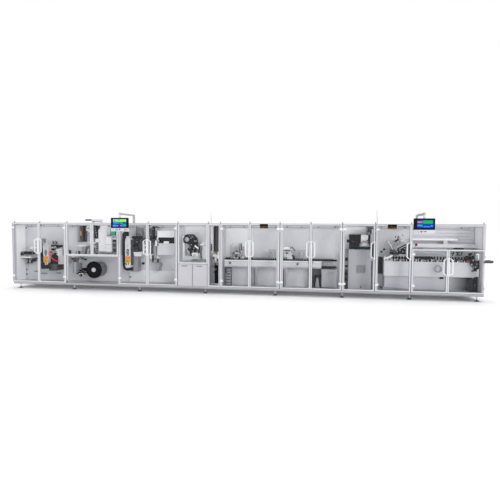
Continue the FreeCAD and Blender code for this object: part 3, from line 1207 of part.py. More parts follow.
def stations_folder():
    """Leaflet folder of the seventh bay."""
    cabinet, side = Site("folder", edge[6]), Site("folder_side", edge[6])
    unit, funnel = Site("folder_unit", edge[6]), Site("folder_funnel", edge[6])
    top, vent = Site("folder_top", edge[6]), Site("folder_vent", edge[6])
    node("leaflet_folder", [
        cabinet.block("body"),
        vent.row("grille", d.vent_pitch, 0.6, "z", WHOLE, ((0.05, 0.95), (-0.1, 1.1), (0, 1)), True),
        side.block("body"), side.block("step", (-0.25, 0), (0.3, 1), (0.5, 0.78)),
        unit.block("body", (0, 0.52)), unit.block("rear", (0.52, 1), (0.25, 1), (0, 1)),
        unit.prism("knob", (-0.1, 0.2, 0.55), 0.05, 0.1, "x", 16),
        funnel.profile("neck", ((0.22, 0.55), (0.7, 0.55), (0.72, 0.9), (0.62, 1), (0.28, 1), (0.2, 0.9)),
                       (0.2, 1)),
        funnel.profile("tray", ((0, 0.15), (1, 0.15), (0.8, 0.55), (0.16, 0.55)), (0, 1)),
        funnel.block("base", (-0.04, 1.04), (-0.1, 1), (0, 0.15)),
        block("folder_seat", (cabinet.x + cabinet.w * 0.3, cabinet.y + d.folder_seat_inset,
                              cabinet.z + cabinet.h),
              (cabinet.w * 0.6, d.plate_depth / 3, funnel.z - cabinet.z - cabinet.h)),
        top.block("body", (0, 1), (0.2, 1), (0.3, 1)), top.block("arm", (0.1, 0.5), (0, 1), (0, 0.3))])


def stations_cartoner():
    """Cartoner body, magazine and top belts of the last bays."""
    body, base = Site("cartoner", edge[7]), Site("cartoner_base", edge[7])
    ring, right = Site("cartoner_ring", edge[7]), Site("cartoner_exit", edge[8])
    chain = Site("cartoner_chain", edge[7])
    rim = cut("hand_wheel_rim", ring.prism("rim", (0.5, -0.25, 0.5), 0.5, 0.5, "y", 24),
              [ring.prism("rim_hole", (0.5, -0.3, 0.5), 0.41, 0.6, "y", 24)])
    node("cartoner_body", [
        body.block("case"), body.block("front_0", (0.005, 0.32), (-0.02, 0), (0.02, 0.98)),
        body.block("front_1", (0.325, 0.66), (-0.02, 0), (0.02, 0.98)),
        body.block("front_2", (0.665, 0.995), (-0.02, 0), (0.02, 0.98)),
        base.block("body"), base.block("lip", (0.02, 0.9), (-0.1, 0), (0, 0.08)),
        rim, ring.prism("hub", (0.5, 0, 0.5), 0.2, 1, "y", 16),
        ring.block("spoke_0", (0.06, 0.94), (-0.1, 0.12), (0.45, 0.55)),
        ring.block("spoke_1", (0.45, 0.55), (-0.1, 0.12), (0.06, 0.94)),
        chain.row("body", d.link_pitch, 0.6, "z", WHOLE, ((0.1, 0.9), (-0.1, 0.01), (0, 1))),
        right.block("arm", (0, 0.4), (0.2, 1), (0.2, 0.75)),
        right.prism("wheel", (0.5, 0, 0.6), 0.3, 0.5, "y", 16),
        right.profile("chute", ((0.5, 0), (0.62, 0), (1, 0.7), (1, 0.85), (0.85, 0.85)), (0.25, 0.6)),
        right.block("bar", (0.3, 0.7), (0.5, 1), (0.4, 0.7)),
        block("exit_shield", (body.x + body.w, body.y + d.exit_shield_inset, body.z + body.h / 4),
              (d.exit_shield_width, d.exit_shield_thick, right.z + right.h - body.z - body.h / 4))])
    magazine, pick = Site("magazine", edge[7]), Site("magazine_pick", edge[7])
    slant = FreeCAD.Rotation(Vector(0, 1, 0), -30)
    x, y, z = magazine.x, magazine.y, magazine.z
    rails = []
    for number, (over, deep, long) in enumerate(((0, 0, 1), (0, 0.85, 1), (0.5, 0, 0.9), (0.5, 0.85, 0.9))):
        rails.append(place(bind(named("Part::Box", f"magazine_rail_{number}"),
                                Length=magazine.w * 1.15 * long, Width=magazine.d * 0.08,
                                Height=d.magazine_rail),
                           (x - magazine.h * 0.3 * over, y + magazine.d * deep,
                            z + magazine.h * 0.55 * over), slant))
    tray = place(bind(named("Part::Box", "magazine_tray"), Length=magazine.w * 1.1,
                      Width=magazine.d * 0.77, Height=d.magazine_rail),
                 (x, y + magazine.d * 0.08, z), slant)
    end = place(bind(named("Part::Box", "magazine_end"), Length=d.magazine_rail,
                     Width=magazine.d * 0.93, Height=magazine.h * 0.62), (x, y, z), slant)
    node("carton_magazine", rails + [
        tray, end, magazine.block("post", (0.35, 0.5), (0.5, 1), (0.05, 0.5)),
        pick.prism("wheel", (0.5, 0, 0.5), 0.28, 0.3, "y", 16),
        pick.block("case", (0.1, 0.9), (0.3, 1), (0.05, 0.75)),
        pick.block("arm_0", (0.42, 0.58), (-0.05, 0.02), (0.05, 0.95)),
        pick.block("arm_1", (0.1, 0.9), (-0.05, 0.02), (0.43, 0.57)),
        pick.block("post", (0.55, 0.8), (0.4, 1), (0.75, 1.4))])
    high, low = Site("top_belt_high", edge[8]), Site("top_belt_low", edge[8])
    node("top_belts", [
        high.block("body", (0, 0.985)), high.prism("end", (0.985, 0, 0.5), 0.022, 1, "y", 16),
        low.block("body", (0, 0.97), (0.05, 1), (0, 0.8)),
        low.block("rail", (0, 0.97), (0, 0.05), (0.1, 0.6)),
        low.prism("end", (0.97, 0, 0.4), 0.03, 0.9, "y", 16),
        low.block("hanger", (0.5, 0.56), (0.3, 1), (0.8, 1.5)),
        low.block("motor", (0.66, 0.8), (0.1, 0.6), (-0.35, 0))])
    node("outfeed_conveyor", [
        outfeed.block("belt", (0.05, 0.95), (0.1, 0.9), (0.2, 0.8)),
        outfeed.prism("end_0", (0.05, 0.1, 0.5), 0.064, 0.8, "y", 14),
        outfeed.prism("end_1", (0.936, 0.1, 0.5), 0.064, 0.8, "y", 14),
        outfeed.block("side_0", (0, 1), (0, 0.1), (0.3, 1)),
        outfeed.block("side_1", (0, 1), (0.9, 1), (0.3, 1)),
        block("outfeed_arm", outfeed.at(0.02, 1, 0.35),
              (outfeed.w * 0.12, d.plate_y - outfeed.y - outfeed.d, outfeed.h * 0.5))])


def roof_drive():
    """Motor and gearbox of the coding parts, on two feet over the front rail."""
    x, y = edge[1] + d.roof_drive_left, d.front + d.roof_drive_inset
    deep, z = d.post - 2 * d.roof_drive_inset, d.guard_height + d.roof_drive_rise
    width, foot = d.roof_drive_width, d.roof_foot
    node("roof_drive", [
        block("roof_gearbox", (x, y, z), (width, deep, d.roof_drive_height)),
        prism("roof_motor", (x - d.roof_motor_length, y + deep / 2, z + d.roof_drive_height / 2),
              d.roof_motor_radius, d.roof_motor_length, 14, "x"),
        block("roof_foot_0", (x + foot, y, d.guard_height), (foot, deep, d.roof_drive_rise)),
        block("roof_foot_1", (x + width - 2 * foot, y, d.guard_height),
              (foot, deep, d.roof_drive_rise))])


def signal_masts():
    """Two pale signal masts on the roof."""
    parts = []
    for number, (base, left) in enumerate(((edge[4], d.mast_one_left), (edge[7], d.mast_two_left)), 1):
        x, y = base + left, d.front + d.post / 2
        parts += [prism(f"mast_{number}_pole", (x, y, d.guard_height), d.mast_pole_radius,
                        d.mast_pole_height, 12),
                  prism(f"mast_{number}_light", (x, y, d.guard_height + d.mast_pole_height),
                        d.mast_light_radius, d.mast_light_height, 16)]
    node("signal_masts", parts)


base_frame()
levelling_feet()
guard_posts()
top_frame()
end_walls()
rear_panels()
mounting_plate()
doors()
fixed_guards()
film_shelf()
panels()
stations_film()
stations_coding()
stations_sealing()
stations_transfer()
stations_bench()
stations_folder()
stations_cartoner()
roof_drive()
signal_masts()

doc.recompute()
for thing in doc.Objects:
    if "Invalid" in thing.State or "Error" in thing.State:
        raise RuntimeError(f"{thing.Label} did not build")
for name, thing in nodes.items():
    shape = thing.Shape
    if shape.isNull() or not shape.isValid():
        raise RuntimeError(f"{name} has no sound shape")
    shape.exportStep(f"parts/{name}.step")
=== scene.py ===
"""Scene of a long guarded packing line: finishes, fittings, floor, lamps and camera.

Places are given as on the factory drawing: u runs along the line from its left end, depth
runs back from the front of the posts, and z runs up from the floor, all in millimetres.
"""
from __future__ import annotations

import logging
import math
from dataclasses import dataclass, field
from enum import Enum
from typing import Iterable, Sequence

import bmesh
import bpy
from mathutils import Matrix, Vector

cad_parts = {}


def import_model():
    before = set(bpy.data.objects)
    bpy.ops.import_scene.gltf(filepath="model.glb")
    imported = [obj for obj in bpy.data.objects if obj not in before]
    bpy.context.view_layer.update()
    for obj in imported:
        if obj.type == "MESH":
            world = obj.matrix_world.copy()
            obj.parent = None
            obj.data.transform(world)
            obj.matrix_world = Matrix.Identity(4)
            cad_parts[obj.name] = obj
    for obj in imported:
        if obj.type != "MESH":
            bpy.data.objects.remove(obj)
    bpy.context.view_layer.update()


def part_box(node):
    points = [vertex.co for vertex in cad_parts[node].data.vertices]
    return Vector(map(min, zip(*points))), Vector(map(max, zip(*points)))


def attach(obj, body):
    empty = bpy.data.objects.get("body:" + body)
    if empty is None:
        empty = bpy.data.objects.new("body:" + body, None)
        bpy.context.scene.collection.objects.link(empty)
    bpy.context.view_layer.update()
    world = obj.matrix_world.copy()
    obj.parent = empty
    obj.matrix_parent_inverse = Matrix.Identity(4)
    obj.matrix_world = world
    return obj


LOG = logging.getLogger("packing_line")
Span = tuple[float, float]
EVERYWHERE: Span = (-1e6, 1e6)

LINE_MIDDLE = 6580.0
POST_FACE = -142.5
# A brushed sheet has streaks some fifty times as long as they are wide.
STREAK = 50.0
# Mottle: its broad grain, and the span of the summed noise that runs from one tone to the other.
BROAD_GRAIN = 2.5
MOTTLE = (0.7, 1.3)
# Roughness wanders this much below and above its value.
SMOOTHER, ROUGHER = 0.06, 0.08
BUMP = 0.35
GLOW = 0.35
# Painted shade on the base sheet at the far end of the line: where it turns dark, in metres, how far it does,
# and its dark colour.
PAINTED_SHADE_SPAN = (5.40, 5.98)
PAINTED_SHADE_SHARE = 0.95
PAINTED_SHADE_COLOUR = "1B1C1F"


def metres(u: float, depth: float, z: float) -> Vector:
    """Turn a place on the drawing into a place in the frame.

    Args:
        u: Distance from the left end of the line, in millimetres.
        depth: Distance behind the front of the posts, in millimetres.
        z: Height above the floor, in millimetres.

    Returns:
        The same place in metres.
    """
    return Vector(((u - LINE_MIDDLE) / 1000, (depth + POST_FACE) / 1000, z / 1000))


def drawn(node: str) -> tuple[Span, Span, Span]:
    """Return a node's box as spans on the drawing: u, depth and z.

    Args:
        node: The node's name.

    Returns:
        From and to along the line, behind the posts and above the floor, in millimetres.
    """
    low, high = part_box(node)
    return ((low[0] * 1000 + LINE_MIDDLE, high[0] * 1000 + LINE_MIDDLE),
            (low[1] * 1000 - POST_FACE, high[1] * 1000 - POST_FACE), (low[2] * 1000, high[2] * 1000))


def linear(colour: str) -> tuple[float, float, float, float]:
    """Turn an sRGB hex colour into linear values.

    Args:
        colour: Six hex digits.

    Returns:
        Red, green, blue and an alpha of one.
    """
    channels = [int(colour[at:at + 2], 16) / 255 for at in (0, 2, 4)]
    low, high = ([c / 12.92 for c in channels], [((c + 0.055) / 1.055) ** 2.4 for c in channels])
    red, green, blue = (h if c > 0.04045 else l for c, l, h in zip(channels, low, high))
    return red, green, blue, 1.0


def add_node(tree: bpy.types.NodeTree, kind: str, settings: dict[str, object] | None = None,
             **values: object) -> bpy.types.Node:
    """Add one node with its settings, values and links.

    Args:
        tree: The tree that gets the node.
        kind: The node's type name.
        settings: Properties of the node itself.
        **values: Inputs by name, with _ for a space; an output socket is linked.

    Returns:
        The new node.
    """
    node = tree.nodes.new(kind)
    for name, value in (settings or {}).items():
        setattr(node, name, value)
    for name, value in values.items():
        socket = node.inputs[name.replace("_", " ")]
        if isinstance(value, bpy.types.NodeSocket):
            tree.links.new(value, socket)
        else:
            socket.default_value = value
    return node


class Surface(Enum):
    """How the surface of a finish was made."""

    POWDER_COAT = "sprayed and baked, with a fine orange peel"
    BRUSHED = "brushed along the line"
    MOULDED = "moulded, even and slightly mottled"
    CAST = "cast, with a coarse grain"
    CLEAR = "clear sheet"
    LIT = "lit from behind"
    # Painted shade: the sheet turns dark along the line where the base lies in shade.
    SHADED = "painted sheet that darkens along the line"


@dataclass(frozen=True)
class Finish:
    """One real material with the way its surface was made."""

    name: str
    colour: str
    second: str
    surface: Surface
    roughness: float
    metallic: float = 0.0
    grain: float = 4.0
    relief: float = 0.02
    alpha: float = 1.0
    slot: str = "white_paint"
    specular: float = 0.5

    def material(self) -> bpy.types.Material:
        """Return the finish as a material, made on first use."""
        known = bpy.data.materials.get(self.name)
        return known or self._build()

    def _build(self) -> bpy.types.Material:
        """Build the node tree of the finish.

        Returns:
            The new material.
        """
        material = bpy.data.materials.new(self.name)
        material.use_nodes = True
        tree = material.node_tree
        tree.nodes.clear()
        place = add_node(tree, "ShaderNodeTexCoord").outputs["Object"]
        stretch = (1.0, 1.0, STREAK) if self.surface is Surface.BRUSHED else (1.0, 1.0, 1.0)
        scaled = add_node(tree, "ShaderNodeMapping", Vector=place, Scale=stretch).outputs["Vector"]
        fine = add_node(tree, "ShaderNodeTexNoise", Vector=scaled, Scale=1000 / self.grain, Detail=2.0)
        broad = add_node(tree, "ShaderNodeTexNoise", Vector=place, Scale=BROAD_GRAIN, Detail=3.0)
        mottle = add_node(tree, "ShaderNodeMath", {"operation": "ADD"})
        tree.links.new(fine.outputs["Fac"], mottle.inputs[0])
        tree.links.new(broad.outputs["Fac"], mottle.inputs[1])
        share = add_node(tree, "ShaderNodeMapRange", Value=mottle.outputs[0])
        share.inputs["From Min"].default_value, share.inputs["From Max"].default_value = MOTTLE
        mix = add_node(tree, "ShaderNodeMix", {"data_type": "RGBA"})
        tree.links.new(share.outputs["Result"], mix.inputs["Factor"])
        mix.inputs[6].default_value = linear(self.colour)
        mix.inputs[7].default_value = linear(self.second)
        colour = mix.outputs[2]
        # Paint the shade at the far end of the line into the colour.
        if self.surface is Surface.SHADED:
            colour = self._paint_shade(tree, place, colour)
        wear = add_node(tree, "ShaderNodeMapRange", Value=broad.outputs["Fac"])
        wear.inputs["To Min"].default_value = max(self.roughness - SMOOTHER, 0.02)
        wear.inputs["To Max"].default_value = self.roughness + ROUGHER
        bump = add_node(tree, "ShaderNodeBump", Height=fine.outputs["Fac"], Strength=BUMP,
                        Distance=self.relief / 1000)
        shader = add_node(tree, "ShaderNodeBsdfPrincipled", Base_Color=colour,
                          Roughness=wear.outputs["Result"], Metallic=self.metallic,
                          Alpha=self.alpha, Normal=bump.outputs["Normal"])
        shader.inputs["Specular IOR Level"].default_value = self.specular
        if self.surface is Surface.LIT:
            tree.links.new(colour, shader.inputs["Emission Color"])
            shader.inputs["Emission Strength"].default_value = GLOW
        output = add_node(tree, "ShaderNodeOutputMaterial")
        tree.links.new(shader.outputs["BSDF"], output.inputs["Surface"])
        return material

    def _paint_shade(self, tree: bpy.types.NodeTree, place: bpy.types.NodeSocket,
              colour: bpy.types.NodeSocket) -> bpy.types.NodeSocket:
        """Paint shade into the colour towards the far end of the line, where the base lies in shade under the
        cartoner.

        Args:
            tree: The tree of the material.
            place: Object coordinates.
            colour: The colour so far.

        Returns:
            The colour with its painted shade.
        """
        parts = add_node(tree, "ShaderNodeSeparateXYZ", Vector=place)
        along = add_node(tree, "ShaderNodeMapRange", Value=parts.outputs["X"])
        along.inputs["From Min"].default_value, along.inputs["From Max"].default_value = PAINTED_SHADE_SPAN
        along.inputs["To Max"].default_value = PAINTED_SHADE_SHARE
        mix = add_node(tree, "ShaderNodeMix", {"data_type": "RGBA"})
        tree.links.new(along.outputs["Result"], mix.inputs["Factor"])
        tree.links.new(colour, mix.inputs[6])
        mix.inputs[7].default_value = linear(PAINTED_SHADE_COLOUR)
        return mix.outputs[2]


# Powder-coated steel: even, satin, with a peel that only shows close up.
WHITE_COAT = Finish("white_powder_coat", "F7F7F9", "F1F1F4", Surface.POWDER_COAT, 0.38, grain=3.0,
                    specular=0.3)
POST_COAT = Finish("pale_post_powder_coat", "CACACF", "C2C2C8", Surface.POWDER_COAT, 0.4, grain=3.0,
                   specular=0.3)
DOOR_COAT = Finish("door_powder_coat", "DADADE", "D2D2D7", Surface.POWDER_COAT, 0.4, grain=3.0, specular=0.3)
CABINET_COAT = Finish("cabinet_powder_coat", "B6B6BC", "AEAEB4", Surface.POWDER_COAT, 0.42, grain=3.0,
                      specular=0.2)
VENT_COAT = Finish("vent_powder_coat", "86868C", "7E7E84", Surface.POWDER_COAT, 0.5, specular=0.1)
# Grey of the base frame: its paint, darkened further by painted shade of the base under the doors.
BASE_COAT_WITH_PAINTED_SHADE = Finish("base_powder_coat_with_painted_shade", "C0C0C5", "B8B8BE", Surface.POWDER_COAT, 0.42, grain=3.0,
                   specular=0.2)
BEAM_COAT = Finish("grey_beam_powder_coat", "C9C9CE", "C1C1C7", Surface.POWDER_COAT, 0.42, grain=3.0,
                   specular=0.3)
GREY_COAT = Finish("light_grey_powder_coat", "DCDCE0", "D4D4D9", Surface.POWDER_COAT, 0.42, grain=3.0,
                   slot="grey_paint", specular=0.3)
MID_COAT = Finish("mid_grey_powder_coat", "A2A2A8", "95959B", Surface.POWDER_COAT, 0.45, grain=3.0,
                  slot="grey_paint", specular=0.3)
DARK_COAT = Finish("dark_grey_powder_coat", "55555A", "46464B", Surface.POWDER_COAT, 0.45, grain=3.0,
                   slot="chain_steel", specular=0.2)
BACK_SHEET = Finish("satin_back_sheet", "E0E0E5", "D8D8DE", Surface.POWDER_COAT, 0.5, grain=4.0,
                    slot="grey_paint", specular=0.2)
# Base sheet with painted shade, which turns dark towards the far end of the line.
SHADE_PAINTED_BASE_SHEET = Finish("base_sheet_with_painted_shade", "CFCFD5", "C5C5CB", Surface.SHADED, 0.5, grain=4.0,
                    slot="grey_paint", specular=0.2)
# Stainless sheet with a fine brush along the line.
STEEL = Finish("brushed_stainless_steel", "C9CACD", "B4B5B9", Surface.BRUSHED, 0.34, 0.8, 1.0,
               slot="zinc_steel")
ZINC = Finish("zinc_plated_steel", "A4A5A9", "8C8D92", Surface.CAST, 0.42, 0.7, 2.0, slot="zinc_steel")
# Castings and anodised plates: dull, with next to no gleam.
CAST_IRON = Finish("cast_iron", "3B3C40", "2B2C30", Surface.CAST, 0.6, 0.0, 1.5, 0.08,
                   slot="chain_steel", specular=0.15)
BLACK = Finish("black_anodised_aluminium", "19191C", "0F0F12", Surface.BRUSHED, 0.5, 0.0, 1.0,
                        slot="black_anodised", specular=0.08)
BLACK_PLASTIC = Finish("black_plastic", "0C0C0E", "131315", Surface.MOULDED, 0.45, grain=2.0,
                       slot="black_anodised", specular=0.06)
RUBBER = Finish("black_rubber", "141416", "1C1C1F", Surface.MOULDED, 0.72, grain=1.5, relief=0.05,
                slot="black_anodised", specular=0.08)
ACETAL = Finish("white_acetal", "F6F6F4", "ECECEA", Surface.MOULDED, 0.34, grain=2.0,
                      slot="pale_plastic", specular=0.3)
FILM = Finish("rolled_clear_film", "7C7D83", "64656B", Surface.BRUSHED, 0.3, grain=1.0, slot="film_roll",
              specular=0.3)
# Clear polycarbonate guards: nearly invisible, with a soft gloss.
POLYCARBONATE = Finish("clear_polycarbonate", "A9B1B7", "A1A9AF", Surface.CLEAR, 0.06, grain=40.0,
                       relief=0.0, alpha=0.03, slot="clear_pane")
ACRYLIC = Finish("clear_acrylic", "C3CAD0", "B9C0C7", Surface.CLEAR, 0.08, grain=20.0, relief=0.0,
                 alpha=0.3, slot="clear_pane")
AMBER = Finish("amber_enamel", "EE9A1C", "E48E12", Surface.POWDER_COAT, 0.45, slot="pale_plastic",
               specular=0.08)
BRONZE = Finish("brown_enamel", "8A6A10", "806008", Surface.POWDER_COAT, 0.5, slot="pale_plastic",
                specular=0.05)
HOSE_RED = Finish("red_hose", "FF1616", "F20E0E", Surface.MOULDED, 0.4, slot="pale_plastic", specular=0.05)
SATIN_STEEL = Finish("satin_steel_casting", "DCDCE0", "CACACF", Surface.CAST, 0.4, 0.25, 3.0, 0.05,
                     slot="zinc_steel", specular=0.3)
ORANGE = Finish("orange_enamel", "F06A0A", "E86206", Surface.POWDER_COAT, 0.45, slot="pale_plastic",
                specular=0.08)
YELLOW = Finish("yellow_enamel", "DCA80E", "E8A800", Surface.POWDER_COAT, 0.45, slot="pale_plastic",
                specular=0.08)
RED = Finish("red_plastic", "E0101A", "CC0C14", Surface.MOULDED, 0.4, slot="pale_plastic", specular=0.08)
SCREEN_TEAL = Finish("screen_teal", "0E9E7E", "0A8E70", Surface.LIT, 0.3, slot="black_anodised",
                     specular=0.1)
SCREEN_BLUE = Finish("screen_blue", "1038B0", "0C309C", Surface.LIT, 0.3, slot="black_anodised",
                     specular=0.1)
SCREEN_GREEN = Finish("screen_green", "18A82C", "129824", Surface.LIT, 0.3, slot="black_anodised",
                      specular=0.1)
SCREEN_LIME = Finish("screen_lime", "9ADC20", "8ECC18", Surface.LIT, 0.3, slot="black_anodised",
                     specular=0.1)
SCREEN_SKY = Finish("screen_sky", "28A0D8", "2090C8", Surface.LIT, 0.3, slot="black_anodised",
                    specular=0.1)
SCREEN_AMBER = Finish("screen_amber", "E07E08", "D07204", Surface.LIT, 0.3, slot="black_anodised",
                      specular=0.1)


@dataclass(frozen=True)
class Zone:
    """A stretch of a node that has a finish of its own."""

    finish: Finish
    u: Span = EVERYWHERE
    depth: Span = EVERYWHERE
    z: Span = EVERYWHERE

    def holds(self, point: Vector) -> bool:
        """Say whether a point in metres lies in the zone."""
        spot = (point.x * 1000 + LINE_MIDDLE, point.y * 1000 - POST_FACE, point.z * 1000)
        return all(low <= at <= high for at, (low, high) in zip(spot, (self.u, self.depth, self.z)))


def dress(node: str, base: Finish, zones: Sequence[Zone] = ()) -> None:
    """Give a node of the frame its finishes.

    Args:
        node: The node's name.
        base: The finish where no zone holds.
        zones: Zones, the first that holds a face wins.
    """
    piece = bpy.data.objects[node]
    finishes = [base] + [zone.finish for zone in zones]
    piece.data.materials.clear()
    for finish in finishes:
        piece.data.materials.append(finish.material())
    if not zones:
        return
    for face in piece.data.polygons:
        centre = face.center
        face.material_index = next((at for at, zone in enumerate(zones, 1) if zone.holds(centre)), 0)


def stand(name: str, mesh: bmesh.types.BMesh, finishes: Sequence[Finish], body: str) -> None:
    """Turn a mesh into an object that rides on a body, and free the mesh.

    Args:
        name: The name of the piece.
        mesh: Its mesh.
        finishes: Its finishes, by material index.
        body: The body that carries it.
    """
    data = bpy.data.meshes.new(name)
    mesh.to_mesh(data)
    mesh.free()
    for finish in finishes:
        data.materials.append(finish.material())
    piece = bpy.data.objects.new(name, data)
    bpy.context.scene.collection.objects.link(piece)
    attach(piece, body)
    LOG.info("%s: %d faces", name, len(data.polygons))


class Maker:
    """Builds one piece out of boxes, bars, plates and rings, in places of the drawing."""

    def __init__(self, name: str) -> None:
        """Start an empty piece."""
        self.name = name
        self.mesh = bmesh.new()
        self.finishes: list[Finish] = []

    def _index(self, finish: Finish) -> int:
        """Return the material index of a finish."""
        if finish not in self.finishes:
            self.finishes.append(finish)
        return self.finishes.index(finish)

    def _settle(self, known: set[bmesh.types.BMFace], finish: Finish, smooth: bool = False) -> None:
        """Give the faces that are new since a form was begun their finish.

        Args:
            known: The faces that stood before.
            finish: The finish of the new ones.
            smooth: Whether the four-sided ones are shaded smooth.
        """
        index = self._index(finish)
        for face in set(self.mesh.faces) - known:
            face.material_index = index
            face.smooth = smooth and len(face.verts) == 4

    def box(self, finish: Finish, u: Span, depth: Span, z: Span, bevel: float = 1.5) -> None:
        """Add a box with softened edges.

        Args:
            finish: Its finish.
            u: From and to along the line.
            depth: From and to behind the posts.
            z: From and to above the floor.
            bevel: Width of its softened edges.
        """
        known = set(self.mesh.faces)
        low, high = metres(u[0], depth[0], z[0]), metres(u[1], depth[1], z[1])
        made = bmesh.ops.create_cube(self.mesh, size=1.0)
        for vertex in made["verts"]:
            vertex.co = Vector(l + (h - l) * (c + 0.5) for l, h, c in zip(low, high, vertex.co))
        width = min(bevel / 1000, *(0.3 * abs(h - l) for l, h in zip(low, high)))
        edges = {edge for vertex in made["verts"] for edge in vertex.link_edges}
        bmesh.ops.bevel(self.mesh, geom=list(edges), offset=width, segments=1, affect="EDGES",
                        clamp_overlap=True)
        self._settle(known, finish)

    def bar(self, finish: Finish, start: Sequence[float], end: Sequence[float], radius: float,
            sides: int = 16, tip: float | None = None) -> None:
        """Add a round bar between two places, tapered where a tip radius is given.

        Args:
            finish: Its finish.
            start: Place of its first end.
            end: Place of its other end.
            radius: Radius at the first end.
            sides: Number of its flats.
            tip: Radius at the other end.
        """
        known = set(self.mesh.faces)
        low, high = metres(*start), metres(*end)
        way = high - low
        turn = way.to_track_quat("Z", "Y").to_matrix().to_4x4()
        bmesh.ops.create_cone(self.mesh, cap_ends=True, segments=sides, radius1=radius / 1000,
                              radius2=(radius if tip is None else tip) / 1000, depth=way.length,
                              matrix=Matrix.Translation((low + high) / 2) @ turn)
        self._settle(known, finish, smooth=sides > 8)

    def disc(self, finish: Finish, u: float, z: float, depth: Span, radius: float, sides: int = 16) -> None:
        """Add a round bar that runs straight back from the front.

        Args:
            finish: Its finish.
            u: Its place along the line.
            z: Its height.
            depth: From and to behind the posts.
            radius: Its radius.
            sides: Number of its flats.
        """
        self.bar(finish, (u, depth[0], z), (u, depth[1], z), radius, sides)

    def wheels(self, rim: Finish, hub: Finish, depth: Sequence[float], share: float, sides: Sequence[int],
               spots: Sequence[Sequence[float]]) -> None:
        """Add wheels, each with a smaller hub in front.

        Args:
            rim: The finish of the wheels.
            hub: The finish of the hubs.
            depth: Where the hubs begin, where the wheels begin and where they end.
            share: Radius of a hub as a share of its wheel.
            sides: Number of flats of a wheel and of a hub.
            spots: Place along the line, height and radius of each.
        """
        for u, z, radius in spots:
            self.disc(rim, u, z, (depth[1], depth[2]), radius, sides[0])
            self.disc(hub, u, z, (depth[0], depth[1]), radius * share, sides[1])

    def blocks(self, depth: Span, bevel: float, rows: Sequence[tuple[float, float, float, float,
                                                                     Finish]]) -> None:
        """Add boxes that share their depth.

        Args:
            depth: From and to behind the posts.
            bevel: Width of their softened edges.
            rows: Left, foot, width, height and finish of each.
        """
        for u, z, wide, tall, finish in rows:
            self.box(finish, (u, u + wide), depth, (z, z + tall), bevel)

    def plate(self, finish: Finish, outline: Iterable[Span], depth: Span) -> None:
        """Add an upright plate with an outline.

        Args:
            finish: Its finish.
            outline: Corners as u and z.
            depth: From and to behind the posts.
        """
        known = set(self.mesh.faces)
        front = [self.mesh.verts.new(metres(u, depth[0], z)) for u, z in outline]
        back = [self.mesh.verts.new(vertex.co + Vector((0, (depth[1] - depth[0]) / 1000, 0)))
                for vertex in front]
        self.mesh.faces.new(front)
        self.mesh.faces.new(back[::-1])
        for at in range(len(front)):
            after = (at + 1) % len(front)
            self.mesh.faces.new((front[at], back[at], back[after], front[after]))
        self._settle(known, finish)

    def oval(self, finish: Finish, centre: Sequence[float], wide: float, tall: float,
             thick: float = 6.0) -> None:
        """Add an upright oval plate whose front is at a place.

        Args:
            finish: Its finish.
            centre: Place of the middle of its front.
            wide: Half its width.
            tall: Half its height.
            thick: Its thickness.
        """
        corners = [(centre[0] + wide * math.cos(math.tau * at / 24),
                    centre[2] + tall * math.sin(math.tau * at / 24))
                   for at in range(24)]
        self.plate(finish, corners, (centre[1], centre[1] + thick))

    def ring(self, finish: Finish, centre: Sequence[float], radius: float, thick: float,
             sides: int = 28) -> None:
        """Add an upright ring of round section.

        Args:
            finish: Its finish.
            centre: Place of its middle.
            radius: Radius to the middle of its section.
            thick: Radius of its section.
            sides: Number of its lengths.
        """
        known = set(self.mesh.faces)
        middle = metres(*centre)
        loops = []
        for at in range(sides):
            angle = math.tau * at / sides
            out = Vector((math.cos(angle), 0, math.sin(angle)))
            loops.append([self.mesh.verts.new(
                middle + out * (radius + thick * math.cos(turn)) / 1000
                + Vector((0, thick * math.sin(turn) / 1000, 0)))
                for turn in (math.tau * step / 8 for step in range(8))])
        for at, loop in enumerate(loops):
            following = loops[(at + 1) % sides]
            for step in range(8):
                after = (step + 1) % 8
                self.mesh.faces.new((loop[step], loop[after], following[after], following[step]))
        self._settle(known, finish, smooth=True)

    def place(self, body: str = "machine", slot: str = "") -> None:
        """Turn the piece into an object that rides on a body.

        Args:
            body: The body that carries it.
            slot: The record's material slot; not used.
        """
        bmesh.ops.recalc_face_normals(self.mesh, faces=self.mesh.faces)
        stand(self.name, self.mesh, self.finishes, body)


class Element(Enum):
    """What a row repeats."""

    SCREW = "round head with its axis across the line"
    SLAT = "flat block"


